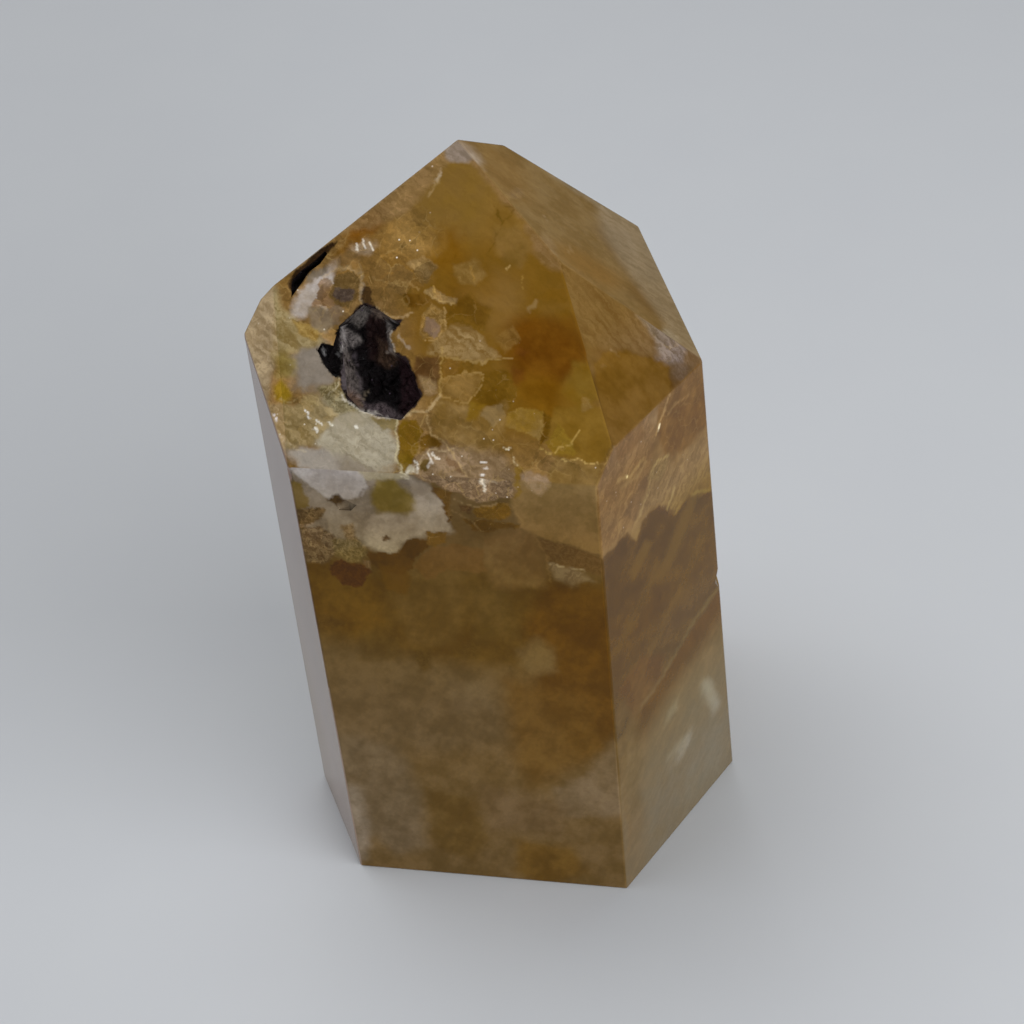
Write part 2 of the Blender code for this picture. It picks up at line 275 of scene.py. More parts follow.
# Flakes are straight-sided: the look, how wide the edge fades (mm), how strong it is, and the corners (mm),
# across and up in turn. The lining is the dark mineral in the hollows of the front slope.
FLAKES = {
    "front": [
        ("563E0C 614A1A cloud soft", 4, 0.95, -18, 47, 18, 47, 18, 33, 8, 33.5, 0, 33, -8, 34, -18, 36),
        ("614B22 6C5632 cloud soft", 2, 0.8, -8, 48, 0.5, 48, 0, 41, -2, 36, -6.6, 36, -7.8, 42),
        ("5E4A1E 6A5430 cloud soft", 2.5, 0.7, 0.4, 45, 5, 45, 5.4, 38, 1, 37),
        ("583E06 664C14 cloud soft", 1.6, 0.85, -18, 47, -12, 47, -9, 44, -9, 39, -12, 37, -18, 37.5),
        ("46320E 56401C grain soft", 0.8, 0.6, -18, 39.4, -15.6, 39.6, -13.5, 38.4, -15, 37, -18, 37),
        ("553804 62440C cloud soft", 2.4, 0.9, 9, 46, 17, 46, 17, 27, 13.6, 22, 10.8, 20, 9.4, 24, 7, 30,
         6.4, 40),
        ("6A563A 766446 cloud soft", 1.4, 0.8, 5.2, 36, 7.6, 38.2, 9.4, 36.4, 9.2, 33.4, 6.6, 32.6, 5.4, 34),
        ("5E4C30 6A583E cloud soft", 4, 0.9, -18, 36, -8, 34, 0, 33, 4, 33, 3, 22, -4, 20, -12, 20, -18, 14),
        ("6A5840 74644C cloud soft", 1.6, 0.6, -3, 31, 1, 31, 1.6, 27, -3.4, 26),
        ("4C380A 584214 grain soft", 0.9, 0.8, -6.4, 35, -4.4, 35, -4.8, 32.4, -6, 32),
        ("4C380E 584216 grain soft", 0.8, 0.7, -1, 36, 1, 37, 0.6, 34.6, -0.8, 34),
        ("523D14 5E4A22 cloud soft", 1.4, 0.6, -12, 37, -8, 36.8, -8, 33.6, -12.6, 33),
        ("5C4112 684D1E cloud soft", 3, 0.85, 3.4, 32, 12, 30, 13.6, 22, 10.6, 19.4, 5, 15, 3.4, 20),
        ("6A583E 776650 cloud soft", 1.4, 0.85, 7.6, 15.4, 11.4, 17.6, 15, 23.4, 18, 24, 18, 13, 13, 11.4,
         8, 11),
        ("634E32 6E5A40 cloud soft", 3, 0.7, -1, 15, 4, 14.4, 9, 13, 8, 8, 0, 8),
        ("563F14 604A20 cloud soft", 1.8, 0.85, -7.6, 13.6, -2, 13, -0.6, 6, -3, 2.4, -7.4, 4),
        ("5A3F0C 674C18 cloud soft", 1.8, 0.85, 2.6, 6.6, 9, 6, 10.6, 2, 5, -1, 2, 1),
        ("5F4F38 6E5F4A cloud soft", 2.4, 0.8, -18, 22, -9.6, 20, -8, 13, -8.6, 4, -12, 2, -18, 10),
        ("726656 82776A cloud milky", 1.4, 0.8, -18, 14, -15.2, 13, -14.8, 6, -16, 1, -18, 0),
        ("6F6459 887E75 cloud milky", 0.9, 1, -18, 62, -9, 62, -2.4, 58.6, -0.6, 54, -0.3, 52, -4.9, 50.6,
         -7.8, 48.6, -10, 49.4, -13.6, 48.6, -16, 51, -18, 55),
        ("7A6238 8A7048 cloud soft", 0.3, 1, 7, 62, 16, 62, 16, 50.1, 13, 50.8, 10.1, 51.7, 8.9, 52.3,
         7, 53.4, 6.2, 56.4),
        ("7C5C10 866A2A cloud glassy", 0.2, 0.8, 6.4, 62, 7.7, 62, 7.3, 57.4, 6.7, 57),
        ("9A8266 887050 grain glassy", 0.4, 0.9, 7.7, 60, 9.2, 61, 10.6, 59, 9.6, 57.4, 8.2, 58.4),
        ("7C644C 967E64 grain cracked", 0.2, 1, -3.6, 62, 7, 62, 6.7, 57.2, 3, 56.2, 0.4, 57.5, -1.2, 58.2,
         -3.4, 59.2),
        ("968C74 A09684 cloud milky", 0.35, 1, -12.6, 62, -4.2, 62, -4, 58.9, -6.6, 58.5, -8.5, 58.4,
         -10.9, 59.3),
        ("9C9594 ACA8AA cloud milky", 0.3, 1, -17.2, 62, -12.2, 62, -9, 58.8, -8.5, 57.4, -10, 56,
         -12.5, 55.5, -14.4, 56.7, -15.4, 57.6, -16.9, 59.6),
        ("887C70 9E958D cloud milky", 0.5, 1, -4.2, 58.8, -2.5, 58.1, -0.9, 56.2, -0.4, 53.9, -0.3, 52.2,
         -3.2, 51.8, -4.9, 50.8, -5.9, 50.3, -6.6, 49.1, -7.8, 48.7, -9.7, 49.6, -10.1, 51.5, -8.5, 53.9,
         -4.2, 54.3),
        ("7C7064 8E857C cloud milky", 0.4, 0.85, -14, 54.4, -11.4, 54.4, -9.4, 54.4, -9.4, 51, -11.4, 49.8,
         -13.4, 51),
        ("38260E 4C381C grain soft", 0.3, 1, -13.2, 55.6, -12.2, 56.3, -11.3, 55.4, -12, 54.6),
        ("6C5222 766040 grain grainy", 0.4, 0.7, -12.2, 52.2, -11, 52.4, -10.6, 50.2, -12, 50),
        ("6E5C1C 82703C cloud soft", 0.9, 0.95, -7.8, 58.4, -5.6, 58.7, -4.7, 57.4, -4, 56.2, -4, 54.8,
         -4.9, 54.1, -7.8, 54.1, -8.5, 55.3, -8.2, 57),
        ("6A5616 746030 cloud soft", 0.3, 0.9, -17, 57.8, -15.7, 57.4, -15.4, 54.4, -17, 53.8),
        ("5A4420 6A5434 grain grainy", 0.25, 0.9, -17, 54, -13.8, 54.4, -14, 53.1, -15.6, 52.2, -17, 51.2),
        ("624C36 766654 grain grainy", 0.4, 0.9, -17, 51.2, -14.4, 52, -13, 50.4, -13.6, 48, -15, 46.6,
         -17, 46.8),
        ("6A5A34 7C6E50 grain grainy", 0.5, 0.8, -13.6, 50.2, -10.4, 50.4, -9.8, 48, -11.4, 47, -13.6, 47.8),
        ("4E350C 5C4010 cloud soft", 0.15, 1, -9.8, 48.7, -7.8, 48.7, -6.6, 48.9, -5.1, 50.8, -3.2, 50.9,
         -3, 50, -4.7, 48.1, -5.1, 46.7, -6.1, 45.8, -8.5, 46.2, -9.7, 47.2),
        ("66490A 5C400C cloud soft", 0.5, 0.8, -8.8, 47, -6.2, 47, -5.4, 45.4, -6.2, 43, -8.4, 43.6),
        ("482A10 54340E grain soft", 0.15, 1, -14.3, 46.7, -12.8, 47.4, -11.8, 46.8, -10.1, 47, -9.8, 45.8,
         -10.6, 45, -11.1, 43.8, -13.2, 43.8, -14.1, 45.3),
        ("7A6450 5C4630 grain grainy", 0.2, 0.8, -10.4, 47.6, -9.7, 47.4, -9.6, 46.2, -10.3, 46.4),
        ("503A22 64503A grain soft", 0.15, 0.95, -8.1, 50.6, -7.3, 51.3, -7, 50.8, -7.8, 50.1),
        ("62460E 6E521C cloud glassy", 0.12, 1, -3.2, 51.8, -0.9, 52, -1.3, 50.8, -2.3, 50, -3.1, 50.2),
        ("54380E 624616 cloud glassy", 0.12, 1, -2.2, 58, 0.3, 57.5, 0.1, 56.2, -0.4, 54.8, -0.1, 53.9,
         -0.5, 53.1, -0.9, 54.6, -0.9, 56.1),
        ("684A0A 76581A grain glassy", 0.15, 1, 2.2, 55.3, 3, 55.8, 4.9, 56.2, 6, 56.5, 6.3, 54.8, 4.9, 54.1,
         2.7, 54.3),
        ("5A3F0A 664A12 cloud glassy", 0.12, 1, 1, 53.9, 3.4, 54.1, 6.8, 53.6, 7.1, 53.3, 4.9, 52.7,
         3.4, 52.2, 2.2, 52.4),
        ("4E3416 5E4424 grain glassy", 0.12, 0.9, 0.6, 55.9, 1.8, 55.6, 2, 54.6, 1, 54.8),
        ("6E5430 7C6442 cloud soft", 1.3, 0.85, 2.7, 50, 3, 51.5, 4.9, 52.3, 7, 53.2, 8.4, 52.2, 9.3, 49.1,
         8.9, 45.3, 3.4, 44.6),
        ("684B20 735732 cloud soft", 0.2, 0.85, -4.9, 47.2, -2.8, 49.9, -0.4, 50.5, 2.7, 49.9, 3, 46.7,
         -1.3, 47, -3.7, 45.2),
        ("5E4420 705634 grain soft", 0.6, 0.8, 8.9, 51.8, 10.1, 51.7, 14.6, 50.2, 16, 49.6, 15.4, 47.4,
         12, 48.1, 9.6, 48.7, 9, 50),
        ("705C48 82725F streak milky", 1, 0.9, 9.6, 48.6, 12, 48, 14.4, 46.5, 11.8, 45.7, 10.1, 46.6),
    ],
    "right": [
        ("6C563A 7C6850 cloud soft", 0.4, 1, -16, 64, 9, 64, 9, 44, 5, 44.6, 3, 46.4, 0, 45.6, -3, 49.2,
         -6, 49.4, -7.4, 47.6, -9, 49.8, -16, 50),
        ("4A3618 544022 cloud soft", 0.6, 0.85, -16, 50, -9, 49.8, -7.4, 47.6, -6, 49.4, -3, 49.2, 0, 45.6,
         3, 46.4, 5, 44.6, 9, 42, 9, 29, 0, 27, -9, 24.2, -16, 23),
        ("4E3A26 584430 cloud soft", 2.5, 0.7, -1, 43.6, 4, 46, 9, 42, 9, 30.5, -4, 30, -3, 38),
        ("66523A 5C4830 streak soft", 1.6, 0.65, -4.4, 40.2, 3.6, 46.6, 5.2, 45.4, 1, 41, -3.4, 38.6),
        ("5A4630 645038 streak soft", 2.2, 0.5, -14, 36, -10, 38.6, -4, 42, -3, 41, -8, 37.4, -13, 34.4),
        ("5A462E 624E36 streak soft", 2.4, 0.45, -14, 27, -8, 31, 0, 36, 6, 40.4, 7, 39, 0, 33.6, -8, 28.6,
         -13, 25.4),
        ("6C5636 5C4624 streak soft", 1, 0.7, -9.4, 44.6, -6, 46.6, -4.4, 45.2, -8.4, 42.8),
        ("523714 5C4220 cloud soft", 1, 0.8, -13, 30.6, -8, 31.6, -3.6, 28.2, -5, 25.4, -10.4, 24.2),
        ("6A5238 78624A streak hazy", 0.8, 0.85, -16, 62, -4, 62.5, -2.4, 58.6, -5, 53.6, -8, 50, -16, 50.2),
        ("60451E 6A5028 cloud hazy", 0.8, 0.9, -2, 62.5, 9, 62.5, 9, 53.6, 2.4, 52.8, -1, 54.6, -2.2, 58),
        ("5E4422 6A5030 cloud hazy", 0.4, 0.7, -10, 62, -5, 62.2, -4.4, 59.6, -9.4, 59.4),
        ("5A4632 665140 cloud hazy", 0.4, 0.7, -9.4, 52.6, -6, 54.6, -3.8, 54.4, -7.4, 50.4),
        ("6C5842 7C6A56 streak hazy", 0.5, 0.85, -7, 50.6, -3.6, 54.8, -0.6, 54.2, 0.4, 52, 3, 52.6, 7.6, 52,
         8, 46, 4, 47, 0, 46, -3, 49.6),
        ("84745C 5C4A30 grain hazy", 0.2, 0.8, -4.6, 54, -3.4, 55.2, -0.4, 54.6, -1, 52.8, -3, 52.4),
        ("4A3422 5A4430 cloud soft", 0.5, 0.8, -3.6, 49.2, -1.8, 48.6, 0.2, 46.2, -1.4, 46.4),
        ("807868 776E5E cloud soft", 2, 0.65, 3, 17.6, 4.6, 17.4, 7, 12, 5.4, 11.4),
        ("7E7664 766C5A cloud soft", 1.6, 0.6, -4.6, 12.6, -2, 13.4, -0.2, 12.4, -2, 11.8),
        ("7C7260 70644E streak milky", 1, 0.5, -4, 19.2, -1.6, 20, -2, 18.6, -4.4, 17.8),
    ],
    "front_slope": [
        # Flakes and sheets right of the vug.
        ("64440A 6E5016 cloud glassy", 0.8, 0.8, -1.8, 40.6, -1.7, 38.4, 0.6, 38, 2, 37, 3, 40, 0.5, 41.6),
        ("9C7E50 86683A grain cracked", 0.2, 0.9, -4.4, 41.8, -3.2, 40.9, -2, 40.5, -0.7, 40.5, -0.8, 41.1,
         -2, 41.3, -3.4, 42.2),
        ("84632E 967642 grain cracked", 0.2, 0.9, -3.6, 40.6, -1.9, 39.8, -1.9, 38, -2.4, 36.6, -4.2, 36.8,
         -4.6, 39.2),
        ("927A66 806650 cloud glassy", 0.2, 0.9, -4.1, 39, -3, 38.9, -2.4, 38.2, -2.6, 37.2, -3.2, 36.8,
         -3.9, 37.6),
        ("5A3C0C 6A4A16 cloud glassy", 0.15, 0.9, -6.4, 41.4, -4.8, 41.5, -4.2, 40.4, -4.8, 40.1, -6.2, 40.3),
        ("7C5C2A A0865A streak hazy", 0.5, 0.85, -2.3, 37.2, -1.4, 38.2, 0.4, 38.3, 1.6, 37.5, 2.8, 36.2,
         4.2, 35.2, 2.4, 34.5, 0.6, 34.6, -1.6, 35, -3.4, 35.2, -3.2, 36.4),
        ("54381A 705230 cloud glassy", 0.4, 0.95, -4.8, 35, -2.4, 35, -2, 34, -2.1, 31.8, -2.4, 30.9,
         -3.8, 30.9, -4.8, 32.6),
        ("94784E A48A64 grain glassy", 0.5, 0.8, -4.2, 32.8, -2.2, 32.4, -2.2, 31, -3.6, 30.9),
        ("6C4C1A 7C5A24 cloud glassy", 0.15, 0.9, -1.7, 34.8, 0, 34.6, -0.2, 33.4, -1.7, 32.8),
        ("664812 7A5A20 cloud glassy", 0.15, 0.8, 0.2, 34.5, 2.2, 34.4, 2.3, 33.7, 0.4, 33.6),
        ("7C5C26 8E6E3A cloud glassy", 0.15, 0.95, -1.9, 32.4, 0.6, 33.4, 2.4, 33.4, 2.4, 32, 1, 30, 0, 30.6,
         -1.8, 31),
        ("6A4A0C 7A5A1C cloud glassy", 0.4, 0.9, 2.5, 33.6, 5, 33.8, 6.4, 31.5, 5.4, 29.8, 2.6, 30,
         1.4, 30.2),
        ("613A0A 6C4610 cloud clear", 1.8, 0.7, 4.8, 35.4, 6, 37.6, 8.6, 39.2, 11.4, 39.4, 13, 36, 11, 33.4,
         7, 33.4),
        ("5A3210 6E4212 cloud clear", 0.5, 0.6, 5.5, 35.4, 6, 36.2, 7.2, 35.8, 6.6, 35.1),
        ("5E3410 6E4212 cloud clear", 0.6, 0.6, 5.5, 34.1, 6.6, 33.8, 6.9, 32.8, 6.2, 32.2, 5.4, 33),
        ("80622E 94784A cloud glassy", 0.7, 0.8, -2, 30.6, 1, 29.8, 3, 29.8, 5, 30.4, 5.2, 28.4, 4.6, 25.2,
         1.5, 25.2, -1.2, 26.2, -2.8, 28),
        ("7C5C12 866A20 cloud clear", 0.4, 0.8, 1.3, 30.2, 2.8, 30.1, 2.2, 28.5, 1, 28.2),
        ("90764C 7E6234 cloud glassy", 0.15, 0.85, 2.8, 29.8, 4.8, 30.2, 5.1, 29, 4, 27.8, 2.6, 29),
        ("8E7240 80611C cloud glassy", 0.15, 0.9, 6.8, 30, 9.2, 29.6, 8.9, 26.6, 7.8, 27.2, 5.2, 28,
         5.4, 29.4),
        ("5C3E08 664810 cloud glassy", 0.15, 0.9, 9.2, 29.8, 10, 28.8, 9.7, 27.2, 9, 25.9, 8.7, 26.4,
         9.1, 28),
        ("735416 7E6024 cloud clear", 0.5, 0.85, 10.2, 30, 15, 30.4, 16.4, 26.4, 15, 24.2, 10.4, 25, 9.6, 27),
        ("8E7026 7E5F18 cloud glassy", 0.2, 0.85, 9.4, 26.2, 10.8, 28.2, 12.4, 26.8, 12.9, 25.2, 10.6, 25.2),
        ("7E6222 6E5010 cloud clear", 0.8, 0.7, 11.8, 35, 13.8, 34.6, 14.8, 31.4, 13, 29.8, 10.8, 31.6),
        ("8E7240 806232 grain glassy", 0.2, 0.6, 12.8, 31.2, 13.6, 30.9, 14.2, 30.1, 13.2, 29.9),
        ("80622C 8C7040 streak glassy", 0.5, 0.6, -1.6, 44.6, 0.6, 45.4, 2, 43.8, 0.8, 42.4, -1, 42.8),
        ("765420 866834 streak glassy", 0.3, 0.6, 3.4, 37.2, 5.2, 38.4, 6.2, 36.8, 4.6, 35.6),
        ("86683A 9C8256 streak cracked", 0.3, 0.7, -6.6, 44.6, -4.8, 45.6, -3.2, 44.4, -4.4, 43),
        # Below and left of it.
        ("7C6C40 8E7E58 cloud glassy", 0.2, 0.9, -8.9, 28.3, -6, 28.3, -6.2, 27, -7.5, 26.9),
        ("7C6014 6C4E10 cloud glassy", 0.15, 0.95, -5.7, 28, -4.2, 28.4, -3.2, 27, -4, 24, -4.8, 22.6,
         -5.7, 23.2),
        ("5A3E0C 6A4C14 cloud glassy", 0.15, 0.95, -3.4, 26.2, -2.4, 26.9, -1.2, 25.5, -2.4, 25, -3.5, 25.1),
        ("80684A 988064 streak glassy", 1.4, 0.8, -3.5, 21.5, -3.5, 24, -2.4, 24.8, 0, 25.2, 2, 25.4,
         5.2, 24.8, 6.7, 23.2, 6.8, 20.5),
        ("664A2E 74583C cloud glassy", 0.15, 0.8, -0.8, 24.6, 0.6, 23.8, 1.5, 22.6, 0.4, 22.8, -0.6, 23.8),
        ("54400E 66501C cloud glassy", 0.15, 0.8, -3.3, 23.8, -2.2, 23.9, -2.6, 22.9, -3.3, 22.9),
        ("9C846A 8A7052 grain glassy", 0.4, 0.9, 7.3, 22.9, 8.2, 23.5, 9.6, 23.1, 11.2, 21.4, 10, 20.2,
         8, 21.2),
        ("7E5E12 86682A cloud glassy", 0.2, 0.8, 6.7, 24, 7.4, 23.6, 7.2, 20.8, 6.6, 20.8),
        ("7C602E 8A6E40 cloud glassy", 0.4, 0.8, 10.6, 24.8, 15.4, 24.2, 15.2, 20.8, 11, 20.8, 10, 22.6),
        # The slit beside the ridge, and the dark patches on either side of it.
        ("1C110A 2E1C10 grain soft", 0.25, 0.95, -19.2, 42.2, -17.8, 44.3, -15.8, 46.2, -14.1, 47.2,
         -14.9, 45.6, -16.2, 44.4, -17.2, 42.8, -18.4, 40.7),
        ("5C4624 6C5530 grain glassy", 0.15, 0.95, -14.3, 43.1, -12.2, 43.6, -11.2, 42.5, -11.5, 40.6,
         -12.3, 39.7, -13.7, 40, -14.4, 41.2),
        ("43362F 56483E grain glassy", 0.2, 0.95, -14.1, 41.9, -11.7, 41.8, -11.8, 40.6, -13, 40.2,
         -14.1, 41),
        ("2C1E12 453018 grain soft", 0.12, 0.9, -10.9, 42.2, -10.2, 42.1, -9.7, 40.6, -9.8, 39.8,
         -10.8, 40.2),
        ("8E7C58 AA9A76 streak hazy", 0.8, 0.85, -26, 42, -20.6, 43, -19.4, 38, -19.6, 34.6, -20.4, 29.6,
         -26, 29),
        ("8A7444 A6956C streak hazy", 0.8, 0.85, -20.6, 41.6, -19.2, 39.6, -17.6, 38.2, -15.2, 37.4,
         -14.8, 35.9, -17.6, 35, -20.2, 34.4),
        ("82705A 948468 cloud glassy", 0.5, 0.85, -16.8, 40, -14.6, 39.6, -13.6, 38, -14.6, 37, -16.2, 37.6),
        ("8A6420 A88A48 streak glassy", 0.3, 0.8, -18.2, 38.1, -16.6, 38, -14.9, 36.8, -15.6, 36.2,
         -17.2, 36.8),
        ("7E6A2C 96864C streak soft", 1, 0.75, -20.2, 34.6, -18.6, 35, -17.4, 34, -17.6, 32.4, -19.4, 32),
        ("82660C 94781A grain soft", 0.8, 0.9, -19.8, 31.2, -18.8, 31.8, -17.8, 31.1, -17.6, 30.2,
         -18.2, 29.5, -19.2, 29.6),
        ("8A7446 A8946A streak glassy", 0.6, 0.85, -20.6, 29.4, -17.4, 29.2, -15, 30.6, -12.4, 28.4,
         -14.6, 25.4, -18.8, 24.2),
        ("6A5C32 8E8464 grain grainy", 0.5, 0.8, -15, 31, -12.8, 32.2, -11.6, 30.2, -10, 29, -12.6, 28.4),
        # Haze along the crest and the left ridge.
        ("7E6034 8C6E48 streak soft", 0.9, 0.85, -3, 60, -2.6, 56.8, -0.8, 55.8, 0.8, 54, 3.2, 51.6,
         5.4, 49.4, 6.8, 46.4, 8.6, 44.6, 10.4, 44.6, 13, 50, 2, 62),
        ("80643A 94764E streak glassy", 0.9, 0.8, -16, 47.6, -11, 48.2, -7, 50.2, -4.4, 53.4, -3, 55.8,
         -2.8, 60, -18, 52),
        ("7C602E 86683A cloud clear", 1.2, 0.6, 2.2, 48.8, 5, 49, 6.6, 46.6, 5.6, 44.6, 3, 46),
        ("8A7A6A 9A8A7C streak soft", 0.5, 0.9, -3.8, 60, -3.4, 56, -1.8, 55.6, 0.4, 56.6, 1.6, 60),
        # The rims of the hollows.
        ("060406 0E0B0C grain soft", 0.1, 1, -15.4, 35.3, -14.8, 35.9, -13.6, 35.7, -12.8, 36.4, -12.6, 37,
         -12.2, 35, -12.3, 32.7, -13, 32.2, -14.2, 33.2),
        ("080506 120D0E grain soft", 0.1, 1, -13.6, 37.1, -13.2, 37.6, -12.8, 38.1, -12.2, 37.4, -12.6, 36.2,
         -13, 36.4),
        ("0E0A0A 2A2122 grain soft", 0.1, 1, -12.7, 38.2, -11.6, 39.5, -10.6, 40.4, -9.4, 40, -8.2, 39,
         -6.5, 38.5, -6.8, 37.7, -7.4, 37, -7.2, 35.5, -5.4, 34.7, -4.9, 33.4, -4.2, 31.8, -3.7, 30.6,
         -4.5, 29.2, -5.6, 28.2, -7, 28.3, -9, 28.7, -11.2, 29.4, -12, 30.6, -12.7, 33),
        ("3E3638 5E5658 streak soft", 0.15, 0.95, -12.6, 36.6, -11.8, 36, -11.7, 33, -11.4, 30.6, -12, 31,
         -12.5, 33),
    ],
    "right_slope": [
        ("7C6038 88704A streak soft", 1.2, 0.8, -2, 48, 0.6, 47, 4, 42, 9, 36, 9, 27, 5.6, 27.4, 2.8, 31,
         0.4, 33.6, -3, 36.4, -4.6, 38),
        ("6E5018 7A5C26 cloud clear", 0.3, 0.85, -11, 29, -5.2, 36, -2.4, 35.8, 0.2, 33.2, 2.6, 30.5, 0, 28,
         -10, 28),
        ("82725C 9C9082 streak glassy", 0.8, 0.8, 3.6, 36.6, 6, 36.8, 7.4, 34, 7.4, 30.8, 4.2, 29.6,
         2.2, 30.6, 3.4, 33.8),
    ],
    "back_right_slope": [
        # Pale haze along the right edge: a painted highlight.
        ("88765C 94826C streak soft", 2.4, 0.8, 13, 30, 11.4, 37, 8, 37.6, 5, 36.6, 0, 34.2, -4, 31.6,
         -9.6, 27.6, -9.6, 24),
        ("86765E 948470 streak soft", 1.2, 0.6, 12.4, 33, 12, 44, 10.6, 44, 10.4, 36),
    ],
    "lining": [
        ("050304 0C0708 grain cracked", 0.1, 1, -30, 20, 10, 20, 10, 60, -30, 60),
        # The grey streaks on the dark mineral are partly its own colour and partly painted sheen on its
        # broken faces.
        ("2A2625 58524E streak cracked", 0.5, 0.9, -12.3, 38.6, -11.3, 39.8, -10.6, 40.9, -9.8, 40.4,
         -10, 38.9, -10.5, 38, -11.1, 37.6),
        ("332E2E 6E6764 streak cracked", 0.4, 0.9, -13, 37.9, -12.4, 37.3, -11.1, 36.9, -10.4, 36.2,
         -11.3, 35.6, -11.9, 35.6, -12.4, 34.9, -12.8, 35.3, -12.9, 36.4),
        ("1C1716 5A524E streak cracked", 0.5, 0.85, -12.6, 35.2, -11.6, 34.9, -11.2, 33.4, -10.3, 31.9,
         -10, 30.2, -11.8, 30, -12.4, 32.4),
        ("33261F 5A473B streak cracked", 0.5, 0.9, -11.8, 31, -10.2, 30.6, -9.6, 29, -10.9, 28.8,
         -11.9, 29.6),
        ("180B0C 2C1D1B streak cracked", 0.8, 0.85, -9.9, 40, -7.9, 38.7, -7.7, 36.4, -8.4, 35.4, -8.6, 33.8,
         -9.5, 34.6, -10.2, 37.6),
        ("281A12 49372A streak cracked", 0.7, 0.8, -8.8, 36.6, -7.8, 36, -6.3, 34.3, -7.7, 33.4, -8.6, 34),
        ("180A0C 2E1C20 streak cracked", 0.6, 0.85, -6.7, 34.7, -5.3, 34.3, -4.4, 33, -3.4, 30.7, -4.4, 29,
         -5.8, 28, -5.8, 30, -6, 32.6),
        ("1C1518 665A5C streak cracked", 0.7, 0.8, -10, 29.9, -7, 29.5, -5.6, 28.6, -6, 27.8, -8.8, 28.2),
        ("463A34 75655A grain cracked", 0.3, 0.9, -9.9, 40.2, -9, 40.1, -7.6, 39, -8.5, 38.7, -9.6, 39.2),
        ("86807E A8A2A0 grain cracked", 0.3, 0.9, -8.1, 38.6, -7.4, 38.5, -7.2, 37.7, -7.9, 37.4),
        ("100A0A 221614 grain cracked", 0.2, 0.9, -7.2, 38.7, -6.5, 38.6, -6.7, 37.8, -7.2, 38),
    ],
}
